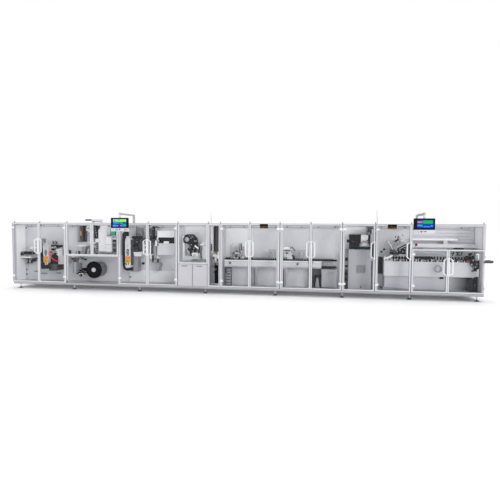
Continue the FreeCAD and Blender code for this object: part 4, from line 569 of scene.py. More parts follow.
@dataclass
class Row:
    """Equal pieces along a line, made by one node tree."""

    element: Element
    finish: Finish
    start: Sequence[float]
    step: Sequence[float]
    count: int
    size: Sequence[float]

    def tree(self) -> bpy.types.NodeTree:
        """Return the tree that makes rows of this element, built on first use."""
        name = f"row_of_{self.element.name.lower()}s"
        known = bpy.data.node_groups.get(name)
        if known:
            return known
        tree = bpy.data.node_groups.new(name, "GeometryNodeTree")
        for label, kind in (("Count", "NodeSocketInt"), ("Start", "NodeSocketVector"),
                            ("Step", "NodeSocketVector"), ("Size", "NodeSocketVector"),
                            ("Finish", "NodeSocketMaterial")):
            tree.interface.new_socket(label, in_out="INPUT", socket_type=kind)
        tree.interface.new_socket("Mesh", in_out="OUTPUT", socket_type="NodeSocketGeometry")
        given = add_node(tree, "NodeGroupInput").outputs
        line = add_node(tree, "GeometryNodeMeshLine", {"mode": "OFFSET"}, Count=given["Count"],
                        Start_Location=given["Start"], Offset=given["Step"])
        if self.element is Element.SCREW:
            form = add_node(tree, "GeometryNodeMeshCylinder", Vertices=10, Radius=0.5, Depth=1.0)
            turn = (math.pi / 2, 0.0, 0.0)
        else:
            form = add_node(tree, "GeometryNodeMeshCube")
            turn = (0.0, 0.0, 0.0)
        copies = add_node(tree, "GeometryNodeInstanceOnPoints", Points=line.outputs["Mesh"],
                          Instance=form.outputs["Mesh"], Rotation=turn, Scale=given["Size"])
        real = add_node(tree, "GeometryNodeRealizeInstances", Geometry=copies.outputs["Instances"])
        dressed = add_node(tree, "GeometryNodeSetMaterial", Geometry=real.outputs["Geometry"],
                           Material=given["Finish"])
        output = add_node(tree, "NodeGroupOutput")
        tree.links.new(dressed.outputs["Geometry"], output.inputs["Mesh"])
        return tree

    def mesh(self) -> bpy.types.Mesh:
        """Evaluate the row to a plain mesh."""
        holder = bpy.data.objects.new("row", bpy.data.meshes.new("row"))
        bpy.context.scene.collection.objects.link(holder)
        modifier = holder.modifiers.new("row", "NODES")
        tree = self.tree()
        modifier.node_group = tree
        ids = {item.name: item.identifier for item in tree.interface.items_tree
               if item.in_out == "INPUT"}
        size = [value / 1000 for value in self.size]
        if self.element is Element.SCREW:
            size = [size[0], size[0], size[1]]
        modifier[ids["Count"]] = self.count
        modifier[ids["Start"]] = metres(*self.start)
        modifier[ids["Step"]] = [value / 1000 for value in self.step]
        modifier[ids["Size"]] = size
        modifier[ids["Finish"]] = self.finish.material()
        graph = bpy.context.evaluated_depsgraph_get()
        graph.update()
        mesh = bpy.data.meshes.new_from_object(holder.evaluated_get(graph))
        bpy.data.objects.remove(holder)
        return mesh


def place_rows(name: str, rows: Sequence[Row]) -> None:
    """Join rows into one piece of the machine.

    Args:
        name: The name of the piece.
        rows: The rows.
    """
    joined = bmesh.new()
    finishes: list[Finish] = []
    for row in rows:
        if row.finish not in finishes:
            finishes.append(row.finish)
        mesh = row.mesh()
        before = len(joined.faces)
        joined.from_mesh(mesh)
        joined.faces.ensure_lookup_table()
        for face in joined.faces[before:]:
            face.material_index = finishes.index(row.finish)
        bpy.data.meshes.remove(mesh)
    stand(name, joined, finishes, "machine")


@dataclass
class Enclosure:
    """Frame, walls, doors and feet of the line, with their small fittings."""

    doors: tuple[str, ...] = ("a1", "a2", "c1", "c2", "f1", "f2", "f3", "f4", "g", "h", "i1", "i2")
    left_hinged: tuple[str, ...] = ("a1", "c1", "f1", "f3", "g", "h", "i1")
    edges: tuple[float, ...] = (0, 1700, 3290, 5010, 5865, 6200, 7807.5, 9415, 10235, 11110, 12840)
    gasket: float = 7.0
    screw: float = 9.0
    rim: float = 34.0
    lips: dict[str, float] = field(default_factory=lambda: {"f2": 34.0, "f3": 34.0, "a2": 22.0, "g": 10.0})

    def finish(self) -> None:
        """Dress the nodes of the enclosure."""
        # The base frame's grey is partly painted shade, and its top takes the base sheet, whose painted shade
        # darkens it at the far end.
        dress("base_frame", BASE_COAT_WITH_PAINTED_SHADE, [Zone(SHADE_PAINTED_BASE_SHEET, depth=(61, 1300), z=(180, 195))])
        dress("levelling_feet", POST_COAT, [Zone(DARK_COAT, z=(-1, 44))])
        dress("guard_frames", DOOR_COAT, [Zone(BEAM_COAT, u=(5020, 5860), z=(190, 800))])
        for node, finish in (("door_hinges", DOOR_COAT), ("film_shelf", DOOR_COAT),
                             ("guard_posts", POST_COAT),
                             ("top_frame", POST_COAT), ("end_walls", DOOR_COAT), ("rear_panels", GREY_COAT),
                             ("mounting_plate", BACK_SHEET), ("clear_panes", POLYCARBONATE)):
            dress(node, finish)
        for door in self.doors:
            dress(f"door_{door}", DOOR_COAT, [Zone(WHITE_COAT, depth=(-90, -40))])
            dress(f"pane_{door}", POLYCARBONATE)

    def gaskets(self) -> None:
        """Lay a dark gasket between each door frame and its pane."""
        for door in self.doors:
            u, deep, z = drawn(f"pane_{door}")
            depth = deep[0] - 2.5
            maker = Maker(f"gasket_{door}")
            for across in ((u[0], u[0] + self.gasket), (u[1] - self.gasket, u[1])):
                maker.box(RUBBER, across, (depth, depth + 2.4), (z[0], z[1]), 0.4)
            for up in ((z[0], z[0] + self.gasket), (z[1] - self.gasket, z[1])):
                maker.box(RUBBER, (u[0] + self.gasket, u[1] - self.gasket), (depth, depth + 2.4), up,
                          0.4)
            maker.place(f"door_{door}")

    def latches(self) -> None:
        """Add the small dark switches at the free upper corner of each door, on the rail."""
        maker = Maker("door_switches")
        for at in (850, 4150, 7003, 8611, 2495):
            for side in (-1, 1):
                maker.box(BLACK, (at + 28 * side - 14, at + 28 * side + 14), (20, 60), (1824, 1850), 2)
        maker.box(BLACK, (1680, 1722), (-6, 0), (205, 250), 3)
        maker.box(BLACK, (4985, 5000), (-4, 0), (200, 236), 2)
        maker.place(slot="black_anodised")

    def handle_plates(self) -> None:
        """Put the dark finger plates and the push buttons behind the handles."""
        for door, z in (("g", 1005), ("h", 1005), ("i1", 618)):
            right = drawn(f"door_{door}")[0][1] - 2
            maker = Maker(f"finger_plate_{door}")
            maker.plate(MID_COAT if door == "i1" else DARK_COAT, ((right - 84, z + 84), (right - 26, z + 34),
                                                                  (right - 26, z + 436),
                                        (right - 84, z + 386)), (-38.5, -36))
            maker.place(f"door_{door}")
        for door in ("a1", "c1"):
            right = drawn(f"door_{door}")[0][1] - 2
            maker = Maker(f"push_buttons_{door}")
            for z in (1130, 1240, 1350):
                maker.oval(BLACK_PLASTIC, (right - 53, -55, z), 15, 48, 5)
                maker.oval(DARK_COAT, (right - 53, -57, z), 6, 26, 2)
            maker.place(f"door_{door}")

    def hinge_covers(self) -> None:
        """Cap the leaf half of each hinge."""
        for door in self.doors:
            left = door in self.left_hinged
            pane, _, rise = drawn(f"pane_{door}")
            edge = pane[0] - self.rim if left else pane[1] + self.rim
            maker = Maker(f"hinge_covers_{door}")
            top = rise[1] + self.rim
            for z in (345, top - 150):
                u = (edge + 13, edge + 74) if left else (edge - 74, edge - 13)
                maker.box(CABINET_COAT if door == "i2" else ACETAL, u, (-62, -40), (z - 6, z + 51), 6)
            maker.place(f"door_{door}")

    def rail_fittings(self) -> None:
        """Add the lifting eyes over the posts and the dark clamps under the top rail."""
        maker = Maker("rail_fittings")
        for at in (40, 850, 1700, 2495, 3290, 4150, 5010, 5865, 6200, 7003, 7807, 8611, 9415, 10235, 11110,
                   12800):
            maker.bar(DARK_COAT, (at, 30, 1910), (at, 30, 1932), 11, 10)
            maker.ring(DARK_COAT, (at, 30, 1938), 13, 4, 14)
        for at in (110, 780, 915, 1620, 1790, 2420, 2570, 3215, 3380, 4075, 4225, 4930, 5090, 5780, 5940,
                   6130,
                   6290, 6930, 7075, 7720, 7890, 8540, 8680, 9330, 9500, 10160, 10320, 11040, 11200, 12010,
                   12700):
            maker.box(DARK_COAT, (at - 16, at + 16), (61, 92), (1856, 1879), 3)
        maker.place(slot="chain_steel")

    def edge_seals(self) -> None:
        """Run dark sealing strips round the doors, pale lips along their hinge sides and the stile of the
        first, and lay painted shade on the lower half of the base beam.
        """
        seal_and_shade_strips = Maker("door_edge_seals_and_base_shade")
        for door in self.doors:
            left = door in self.left_hinged
            u, _, z = drawn(f"pane_{door}")
            outer = (u[0] - self.rim, u[1] + self.rim)
            for at in (outer[0] - 8, outer[1] + 0.6):
                seal_and_shade_strips.box(DARK_COAT, (at, at + 7.4), (-2, -0.4), (z[0] - self.rim, z[1] + self.rim), 0.4)
            seal_and_shade_strips.box(DARK_COAT, outer, (-2.2, -0.6), (z[0] - 44, z[0] - 35), 0.4)
            lip = Maker(f"door_lip_{door}")
            wide = self.lips.get(door, 14.0)
            across = (u[0] + 4, u[0] + 4 + wide) if left else (u[1] - 4 - wide, u[1] - 4)
            lip.box(POST_COAT, across, (-29, -24.6), (z[0] + 4, z[1] - 4), 1)
            at = across[1] if left else across[0] - 3
            lip.box(MID_COAT, (at, at + 3), (-28, -24.6), (z[0] + 4, z[1] - 4), 0.5)
            lip.place(f"door_{door}")
        seal_and_shade_strips.box(DARK_COAT, (0, 12840), (-1.4, -0.2), (186, 195), 0.4)
        stile = Maker("end_stile_a1")
        stile.box(CABINET_COAT, (5, 36), (-37.4, -36), (200, 1890), 0.5)
        stile.box(MID_COAT, (26, 31), (-38, -37), (204, 1886), 0.4)
        stile.place("door_a1")
        # Painted shade: a mid grey strip over the lower half of the base beam.
        seal_and_shade_strips.box(MID_COAT, (0, 12840), (-1.2, -0.2), (126, 152), 0.4)
        seal_and_shade_strips.box(MID_COAT, (0, 12840), (-1.4, -0.2), (1897, 1903), 0.4)
        seal_and_shade_strips.place(slot="chain_steel")

    def ducts_and_painted_roof_shadow(self) -> None:
        """Hang slotted ducts under the roof along the back wall; they are partly painted shadow of the roof
        and the top rail.
        """
        maker = Maker("ducts_and_painted_roof_shadow")
        for left, right in ((34, 1690), (1710, 3280), (3300, 5000), (6220, 7800), (7820, 9400),
                            (10250, 12700)):
            # Grey ducts with a mid grey strip and dark slots: real ducts, and in their grey band painted
            # shadow of the roof and top rail.
            maker.box(BEAM_COAT, (left, right), (560, 599), (1806, 1846), 2)
            maker.box(MID_COAT, (left, right), (558, 562), (1804, 1812), 1)
            for share in (0.08, 0.33, 0.62, 0.9):
                at = left + (right - left) * share
                maker.box(DARK_COAT, (at, at + 34), (552, 562), (1818, 1838), 2)
        # Horizontal joints of the back wall over the top belts.
        for z in (1440, 1520, 1600, 1680, 1760):
            maker.box(BEAM_COAT, (11130, 12740), (592, 599), (z, z + 9), 0.5)
        # White panels on the back wall of the bays that have one.
        for left, right, low, high in ((1734, 2440, 1000, 1800), (2500, 3256, 1000, 1800),
                                       (5040, 5850, 996, 1800),
                                       (6232, 6996, 946, 1800), (3330, 5000, 200, 540)):
            maker.box(WHITE_COAT, (left, right), (594, 599.4), (low, high), 1)
            for u in (left + 16, right - 16):
                maker.disc(ZINC, u, high - 16, (591, 594), 6, 10)
                maker.disc(ZINC, u, low + 16, (591, 594), 6, 10)
        maker.place(slot="grey_paint")

    def end_liner(self) -> None:
        """Line the inside of both end walls with white sheets."""
        maker = Maker("end_liner")
        maker.box(WHITE_COAT, (30.5, 37), (66, 470), (198, 1846), 1)
        for z in (330, 470, 1740):
            maker.box(DARK_COAT, (37, 62), (478, 512), (z, z + 44), 4)
            maker.disc(ZINC, 49, z + 22, (462, 478), 10, 12)
        maker.box(BACK_SHEET, (30.5, 34), (516, 599), (198, 1846), 1)
        maker.box(WHITE_COAT, (12803, 12809.5), (66, 560), (1296, 1846), 1)
        maker.box(MID_COAT, (12800, 12809.5), (562, 574), (1296, 1846), 1)
        maker.place()

    def screws(self) -> None:
        """Put rows of screw heads on the fixed sheets and the base."""
        rows = []
        for left, right in zip(self.edges[:-1], self.edges[1:]):
            count = max(2, int((right - left) // 260))
            step = (right - left - 120) / (count - 1)
            for depth, z in ((598, 1825), (598, 225), (-1, 145)):
                rows.append(Row(Element.SCREW, ZINC, (left + 60, depth, z), (step, 0, 0), count,
                                (self.screw, 4)))
        place_rows("sheet_screws", rows)

    def recess_grips(self) -> None:
        """Add the grips and the seams of the two lift-off panels."""
        maker = Maker("recess_grips")
        for left in (5128, 5540):
            maker.box(MID_COAT, (left, left + 170), (-38.5, -36), (732, 758), 2)
            maker.box(DARK_COAT, (left + 6, left + 164), (-39.2, -37), (741, 752), 1)
        for left, right in ((5026, 5424), (5438, 5835)):
            maker.box(MID_COAT, (left - 6, right + 6), (-37.2, -36), (790, 797), 0.5)
            for at in (left - 6, right):
                maker.box(MID_COAT, (at, at + 6), (-37.2, -36), (206, 790), 0.5)
        maker.place()

    def build(self) -> None:
        """Build and dress everything of the enclosure."""
        for step in (self.finish, self.gaskets, self.latches, self.handle_plates, self.hinge_covers,
                     self.rail_fittings, self.edge_seals, self.ducts_and_painted_roof_shadow, self.end_liner, self.screws,
                     self.recess_grips):
            step()


@dataclass
class OperatorPanels:
    """The two panels under the hanging arms, with their screens and keys."""

    middles: tuple[float, float] = (3790.0, 11155.0)
    width: float = 454.0
    face: float = -959.0
    low: float = 1758.0
    high: float = 2020.0
    rim: float = 24.0

    def screen(self, number: int) -> None:
        """Lay out the lit tiles of one screen.

        Args:
            number: 1 for the film end, 2 for the carton end.
        """
        middle = self.middles[number - 1]
        left, right = middle - self.width / 2 + self.rim + 1, middle + self.width / 2 - self.rim - 1
        bottom, top = self.low + 17, self.high - 17
        face = self.face + 1.2
        maker = Maker(f"panel_screen_{number}")
        maker.box(BLACK, (left, right), (face + 0.6, face + 1.6), (bottom, top), 0.4)
        width, height = right - left, top - bottom
        tiles = {
            1: ((SCREEN_BLUE, 0.06, 0.98, 0.04, 0.96), (SCREEN_LIME, 0.08, 0.96, 0.62, 0.9),
                (SCREEN_SKY, 0.1, 0.26, 0.66, 0.8), (SCREEN_SKY, 0.44, 0.56, 0.72, 0.86),
                (SCREEN_SKY, 0.1, 0.5, 0.44, 0.56), (SCREEN_GREEN, 0.54, 0.72, 0.4, 0.58),
                (SCREEN_SKY, 0.06, 0.3, 0.1, 0.3), (SCREEN_GREEN, 0.72, 0.94, 0.12, 0.4),
                (SCREEN_AMBER, 0.34, 0.42, 0.14, 0.26), (SCREEN_AMBER, 0.58, 0.66, 0.14, 0.26)),
            2: ((SCREEN_BLUE, 0.1, 0.97, 0.14, 0.92), (SCREEN_GREEN, 0.4, 0.93, 0.56, 0.86),
                (SCREEN_AMBER, 0.12, 0.36, 0.62, 0.76), (SCREEN_SKY, 0.12, 0.36, 0.3, 0.44),
                (SCREEN_GREEN, 0.3, 0.4, 0.26, 0.42), (SCREEN_SKY, 0.84, 0.93, 0.26, 0.4),
                (SCREEN_SKY, 0.45, 0.8, 0.2, 0.28))}[number]
        for layer, (finish, x0, x1, z0, z1) in enumerate(tiles):
            depth = face + 0.5 - 0.02 * layer
            maker.box(finish, (left + width * x0, left + width * x1), (depth, depth + 0.3),
                      (bottom + height * z0, bottom + height * z1), 0.05)
        maker.place(f"hmi_panel_{number}", "black_anodised")

    def keys(self, number: int) -> None:
        """Add the keys of the strip under one screen, as collars round the CAD buttons.

        Args:
            number: 1 for the film end, 2 for the carton end.
        """
        middle = self.middles[number - 1]
        maker = Maker(f"panel_keys_{number}")
        z = self.low - 42
        for at, finish in zip((0.14, 0.27, 0.40), (ZINC, BLACK, ZINC)):
            maker.ring(finish, (middle - self.width * at, self.face - 1, z), 19, 2.5, 16)
        if number == 1:
            maker.disc(RED, middle + 14, z + 4, (self.face - 12, self.face), 17, 18)
            for at, finish in ((90, GREY_COAT), (150, DARK_COAT)):
                maker.bar(finish, (middle + at, self.face - 10, z), (middle + at, self.face, z), 13, 16)
            maker.box(YELLOW, (middle + 170, middle + 216), (self.face - 6, self.face), (z - 20, z + 20), 2)
        else:
            maker.box(DARK_COAT, (middle - 24, middle + 48), (self.face - 4, self.face), (z - 6, z + 10), 2)
        maker.place(f"hmi_panel_{number}", "zinc_steel")

    def build(self) -> None:
        """Dress the arms, the panels and the roof drive, and add screens and keys."""
        dress("hmi_arms", CABINET_COAT)
        dress("roof_drive", GREY_COAT, [Zone(BLACK_PLASTIC, u=(2000, 2475.5)), Zone(BEAM_COAT, z=(1900,
                                                                                                  1967))])
        for number in (1, 2):
            middle = self.middles[number - 1]
            dress(f"hmi_panel_{number}", BLACK_PLASTIC, [
                *(Zone(finish, (middle - far, middle - near), (-980, -958.5), (1690, 1740))
                  for finish, far, near in ((RED if number == 2 else ZINC, 80, 47), (ACETAL, 140, 105),
                                            (GREY_COAT, 200, 160))),
                Zone(GREY_COAT, z=(1600, 1757.5)), Zone(GREY_COAT, z=(2020.5, 2400))])
            self.screen(number)
            self.keys(number)
        gear = Maker("roof_gear_cover")
        gear.box(CABINET_COAT, (2480, 2776), (12, 48), (1930, 1992), 3)
        gear.box(DARK_COAT, (2480, 2560), (9, 13), (1944, 1982), 2)
        gear.place(slot="grey_paint")


@dataclass
class FilmEnd:
    """Forming, heating, coding and unwinding stations of the first two bays."""

    press_plates: tuple[tuple[float, float, float, float], ...] = (
        (868, 1004, 148, 745), (3426, 3574, 118, 788))

    def finish(self) -> None:
        """Dress the nodes of the film end."""
        dress("web_rollers", STEEL, [
            Zone(STEEL, u=(40, 107)), Zone(RUBBER, u=(107, 470), depth=(200, 400), z=(975, 1065)),
            Zone(GREY_COAT, u=(60, 440), z=(850, 975)), Zone(BLACK, u=(200, 430), z=(730, 856)),
            Zone(ACETAL, u=(320, 440), z=(1080, 1260))])
        dress("forming_station", BLACK, [
            Zone(HOSE_RED, u=(1010, 1320), depth=(180, 249.5), z=(765, 1080)),
            Zone(ACETAL, depth=(300, 345), z=(1040, 1110)),
            Zone(GREY_COAT, u=(620, 780), z=(1200, 1500)), Zone(CAST_IRON, u=(955, 1255), z=(500, 692)),
            Zone(CAST_IRON, z=(1252, 1500))])
        dress("press_towers", SATIN_STEEL, [
            Zone(DARK_COAT, u=(3578, 3590), depth=(125, 400), z=(780, 1700)),
            Zone(BLACK, u=(900, 972), depth=(151, 165), z=(955, 1110)),
            Zone(BLACK, u=(3460, 3540), depth=(121, 136), z=(1025, 1190)),
            Zone(BLACK, u=(850, 1020), z=(600, 735)),
            Zone(BLACK, u=(3400, 3600), z=(500, 652))])
        dress("heating_station", BEAM_COAT, [
            Zone(BLACK, u=(1425, 1475), z=(962, 1100)), Zone(STEEL, z=(1090, 1300)),
            Zone(ACETAL, z=(962, 1090))])
        dress("coding_station", DARK_COAT, [
            Zone(AMBER, u=(1840, 1900), depth=(400, 449.5)),
            Zone(BLACK, u=(1950, 1990), depth=(400, 449.5)),
            Zone(WHITE_COAT, u=(2405, 2860), depth=(448, 462)),
            Zone(WHITE_COAT, u=(2075, 2320), depth=(420, 601), z=(1256, 1830)),
            Zone(STEEL, u=(2000, 2330), z=(1256, 1900)),
            Zone(WHITE_COAT, u=(1840, 2110), z=(1226, 1256)), Zone(MID_COAT, u=(1840, 2260), z=(1020, 1226)),
            Zone(WHITE_COAT, u=(2320, 2460), z=(1200, 1380))])
        dress("service_cabinets", GREY_COAT, [
            Zone(WHITE_COAT, u=(2765, 2950), depth=(230, 249.5)),
            Zone(DARK_COAT, u=(2958, 3056)), Zone(BLACK, u=(2980, 3150)),
            Zone(BLACK, u=(4330, 4782), depth=(301, 426), z=(1355, 1516)),
            Zone(WHITE_COAT, u=(4290, 4820), z=(1520, 1720)),
            Zone(MID_COAT, u=(9040, 9210), depth=(270, 292), z=(570, 620)),
            Zone(CABINET_COAT, u=(8890, 9310))])
        dress("unwind_arms", MID_COAT, [
            Zone(GREY_COAT, z=(725, 920)), Zone(BLACK, u=(1835, 2100), z=(350, 620))])
        dress("film_reel", FILM, [Zone(STEEL, u=(2360, 2530), depth=(130, 149), z=(480, 650)),
                                  Zone(BLACK, depth=(130, 162.5))])

    def press_fronts(self) -> None:
        """Put the coloured plates, the claws and the lamps on both press towers."""
        maker = Maker("press_fronts")
        for left, right, depth, low in self.press_plates:
            width = right - left
            maker.box(YELLOW, (left, right), (depth - 3, depth + 2), (low, low + 96), 2)
            for step in (20, 44, 68):
                maker.box(BRONZE, (left + width * 0.2, right - width * 0.2), (depth - 4, depth),
                          (low + step, low + step + 9), 1)
            maker.box(AMBER, (left, right), (depth - 3, depth + 2), (low + 98, low + 152), 2)
            maker.box(ORANGE, (left, right), (depth - 3, depth + 2), (low + 154, low + 180), 2)
            maker.box(RED, (left + width * 0.3, left + width * 0.66), (depth - 4, depth + 2),
                      (low + 470, low + 486), 2)
            for step in range(4):
                at = left + width * (0.06 + 0.25 * step)
                foot = low - 60
                maker.plate(ACETAL if step % 2 else BLACK,
                            ((at, foot), (at + width * 0.2, foot + 8), (at + width * 0.16, foot + 54),
                             (at - width * 0.02, foot + 46)), (depth - 8, depth + 8))
            maker.oval(BLACK, (left + width * 0.5, depth - 8, low + 290), width * 0.26, 88, 9)
            maker.oval(SATIN_STEEL, (left + width * 0.5, depth - 11, low + 290), width * 0.17, 62, 3)
            maker.oval(BLACK, (left + width * 0.5, depth - 14, low + 290), width * 0.10, 40, 3)
            maker.disc(ACETAL, left + width * 0.5, low - 46, (depth - 8, depth), width * 0.2, 18)
            maker.box(WHITE_COAT, (left + 3, left + 14), (depth - 3, depth + 2), (low + 200, low + 600), 2)
        maker.place(slot="zinc_steel")

    def forming_fittings(self) -> None:
        """Add gauges, fittings and lines of the forming head."""
        maker = Maker("forming_fittings")
        for u in (1014, 1068, 1122):
            maker.ring(BLACK, (u, 308, 1073), 19, 3, 18)
            maker.plate(RED, ((u - 1.5, 1068), (u + 1.5, 1068), (u + 9, 1084)), (307, 309))
        for u, z in ((985, 1150), (1040, 1165), (1100, 1150), (1150, 1170)):
            maker.disc(STEEL, u, z, (330, 350), 12, 12)
            maker.disc(BLACK, u, z + 34, (322, 350), 8, 10)
        for u in (1005, 1050, 1095, 1140):
            maker.box(ACETAL, (u, u + 26), (336, 350), (1018, 1036), 2)
        for u in (655, 735):
            maker.bar(STEEL, (u, 455, 1462), (u, 455, 1500), 9, 12)
            maker.bar(BLACK, (u, 455, 1210), (u, 455, 1238), 16, 14)
        maker.box(RED, (690, 702), (418, 430), (1330, 1350), 2)
        for u in (1290, 1340, 1390):
            maker.bar(ACETAL, (u, 262, 1000), (u, 262, 1130), 10, 12)
        maker.box(MID_COAT, (1300, 1440), (246, 250), (760, 764), 0.5)
        # Drive housing and lower guards behind the red pipe.
        maker.plate(BLACK, ((948, 690), (1226, 690), (1226, 900), (1160, 935), (948, 935)), (262, 274))
        maker.box(DARK_COAT, (960, 1228), (252, 264), (500, 688), 4)
        for u in (1000, 1065, 1130, 1195):
            maker.box(CAST_IRON, (u, u + 8), (249, 253), (520, 672), 1)
        # Ribbed motor beside the first tower.
        maker.bar(MID_COAT, (680, 420, 1235), (680, 420, 1440), 58, 20)
        for z in range(1262, 1440, 26):
            maker.bar(DARK_COAT, (680, 420, z), (680, 420, z + 9), 62, 20)
        maker.bar(STEEL, (680, 420, 1440), (680, 420, 1462), 40, 20)
        # Lower guard of the first tower, cut round its drive.
        maker.plate(BLACK, ((662, 545), (850, 545), (850, 700), (760, 860), (716, 1240), (662, 1282)),
                    (296, 304))
        # Cutters under the front of the tower.
        for u, lean in ((830, -24), (905, 6), (985, 26)):
            maker.plate(BLACK, ((u, 560), (u + 46, 556), (u + 30 + lean, 628), (u - 8 + lean, 620)),
                        (205, 228))
        # White covers, blocks and fittings of the head.
        for u, z, wide, tall in ((925, 1128, 60, 70), (1010, 1168, 44, 30), (1086, 1186, 50, 24),
                                 (1140, 1090, 30, 44), (940, 1050, 120, 22)):
            maker.box(ACETAL, (u, u + wide), (318, 346), (z, z + tall), 3)
        for u, z in ((1240, 1120), (1300, 1165), (1370, 1100), (1250, 1020)):
            maker.disc(MID_COAT, u, z, (234, 250), 15, 14)
            maker.disc(BLACK, u, z, (230, 234), 7, 10)
        maker.box(GREY_COAT, (1225, 1412), (236, 250), (960, 1150), 4)
        for u, z in ((1250, 1010), (1320, 1090), (1360, 1000)):
            maker.disc(DARK_COAT, u, z, (231, 236), 11, 14)
        maker.box(MID_COAT, (1236, 1400), (233, 237), (1056, 1060), 0.5)
        maker.place(slot="black_anodised")
        feed = Maker("film_feed_fittings")
        # Black knob with a pale ring on the front of the feed roller.
        feed.bar(BLACK_PLASTIC, (60, 270, 985), (92, 270, 985), 50, 22)
        feed.bar(STEEL, (92, 270, 985), (104, 270, 985), 34, 20)
        feed.bar(BLACK_PLASTIC, (104, 270, 985), (120, 270, 985), 44, 22)
        feed.bar(BLACK_PLASTIC, (120, 288, 1003), (440, 288, 1003), 42, 22)
        for u in (126, 424):
            feed.bar(STEEL, (u, 288, 1003), (u + 7, 288, 1003), 45, 22)
        feed.box(DARK_COAT, (66, 540), (282, 300), (836, 850), 1)
        feed.blocks((286, 312), 3, ((186, 716, 44, 96, MID_COAT), (236, 700, 52, 120, BLACK),
                                    (296, 726, 36, 70, STEEL), (338, 700, 60, 100, BLACK),
                                    (300, 812, 90, 20, ZINC), (210, 690, 30, 24, BLACK)))
        feed.bar(ACETAL, (395, 300, 1120), (395, 300, 1180), 34, 18)
        feed.bar(BLACK, (340, 300, 1105), (395, 300, 1150), 13, 12)
        feed.place(slot="black_anodised")
        # Grey ovals on the lower back wall: painted shadows.
        shadow_ovals = Maker("painted_wall_shadows")
        for left, right, z in ((200, 470, 430), (420, 680, 372), (930, 1144, 394)):
            shadow_ovals.oval(MID_COAT, ((left + right) / 2, 592, z), (right - left) / 2, 26, 7)
        shadow_ovals.place(slot="grey_paint")

    def coding_fittings(self) -> None:
        """Add the screen, seams, lamps and pulleys of the second bay."""
        maker = Maker("coding_fittings")
        maker.box(SCREEN_TEAL, (3000, 3131), (98.8, 100.2), (1574, 1758), 0.3)
        maker.box(WHITE_COAT, (2398, 2462), (434, 449), (1350, 1420), 3)
        for z in (1640, 1700, 1760):
            maker.box(MID_COAT, (1858, 1892), (439, 441), (z, z + 12), 1)
        maker.disc(BLACK, 2205, 1330, (405, 424), 26, 18)
        for u, z in ((2196, 1545), (2230, 1500), (2150, 1610)):
            maker.disc(BLACK, u, z, (418, 436), 11, 12)
        for number in range(3):
            maker.box(BLACK, (2360 + 72 * number, 2400 + 72 * number), (340, 350),
                      (1560 + 40 * number, 1640 + 40 * number), 3)
        maker.disc(STEEL, 2420, 1680, (335, 350), 34, 20)
        maker.box(MID_COAT, (2790, 2925), (240, 244), (1296, 1299), 0.5)
        maker.box(BLACK, (2900, 2912), (238, 244), (1180, 1200), 1)
        # Tall white hood between the drive and the cabinet, and its dark side.
        maker.box(WHITE_COAT, (2497, 2724), (436, 452), (1560, 1832), 4)
        maker.plate(WHITE_COAT, ((2497, 1080), (2724, 1080), (2724, 1560), (2560, 1560)), (436, 452))
        maker.box(BLACK, (2324, 2478), (420, 446), (1500, 1826), 3)
        for step in range(4):
            z = 1540 + 70 * step
            maker.disc(DARK_COAT, 2345 + 22 * step, z, (408, 420), 26)
            maker.disc(ZINC, 2440 - 10 * step, z + 20, (410, 420), 12, 12)
        maker.box(ACETAL, (2350, 2500), (404, 424), (1360, 1440), 8)
        maker.box(BLACK, (2392, 2492), (416, 440), (1100, 1356), 3)
        for z in (1130, 1190, 1250, 1310):
            maker.box(MID_COAT, (2404, 2480), (411, 417), (z, z + 26), 2)
        maker.plate(WHITE_COAT, ((2503, 1090), (2720, 1090), (2762, 1300), (2762, 1838), (2600, 1838),
                                 (2503, 1700)),
                    (316, 323))
        maker.box(BLACK, (2312, 2496), (310, 324), (1480, 1838), 3)
        for step in range(4):
            z = 1530 + 74 * step
            maker.disc(DARK_COAT, 2352 + 20 * step, z, (300, 310), 28, 18)
            maker.disc(STEEL, 2448 - 14 * step, z + 24, (302, 310), 13, 14)
        maker.box(ACETAL, (2411, 2540), (292, 316), (1352, 1450), 8)
        maker.box(DARK_COAT, (2420, 2500), (306, 320), (1100, 1352), 3)
        for z in (1130, 1190, 1250, 1310):
            maker.box(MID_COAT, (2432, 2488), (301, 307), (z, z + 26), 2)
        # Bands of the louvred column.
        for z, kind in ((1110, DARK_COAT), (1180, MID_COAT), (1250, DARK_COAT), (1320, MID_COAT),
                        (1390, BLACK), (1440, WHITE_COAT)):
            maker.box(kind, (2962, 3050), (290, 299), (z, z + 44), 2)
        # Black right edge of the printer panel, painted shade where the panel darkens to the right; its pale
        # frame and the hanging cable chain.
        maker.plate(BLACK, ((1975, 1360), (2010, 1390), (2010, 1830), (1990, 1830), (1960, 1700),
                                     (1960, 1360)), (440, 449))
        maker.plate(MID_COAT, ((1767, 1400), (1830, 1370), (1830, 1830), (1767, 1830)), (446, 449.5))
        maker.plate(ACETAL, ((2050, 1700), (2150, 1640), (2180, 1700), (2170, 1800), (2080, 1826)),
                    (426, 440))
        for number in range(7):
            maker.box(BLACK, (2030 + 15 * number, 2042 + 15 * number), (420, 436),
                      (1796 - 6 * number, 1826 - 6 * number), 2)
        # Small fittings over the shelf.
        for at, z, tall, kind in ((1760, 1010, 60, MID_COAT), (1850, 1000, 90, BLACK),
                                  (1920, 1000, 50, STEEL), (1990, 1010, 110, MID_COAT),
                                  (2060, 1000, 60, DARK_COAT), (2140, 1020, 100, STEEL),
                                  (2210, 1000, 130, MID_COAT), (2400, 1000, 60, DARK_COAT)):
            maker.box(kind, (at, at + 48), (330, 372), (z - 8, z + tall), 4)
            maker.disc(DARK_COAT, at + 24, z + tall * 0.6, (322, 330), 10, 12)
        maker.place(slot="pale_plastic")

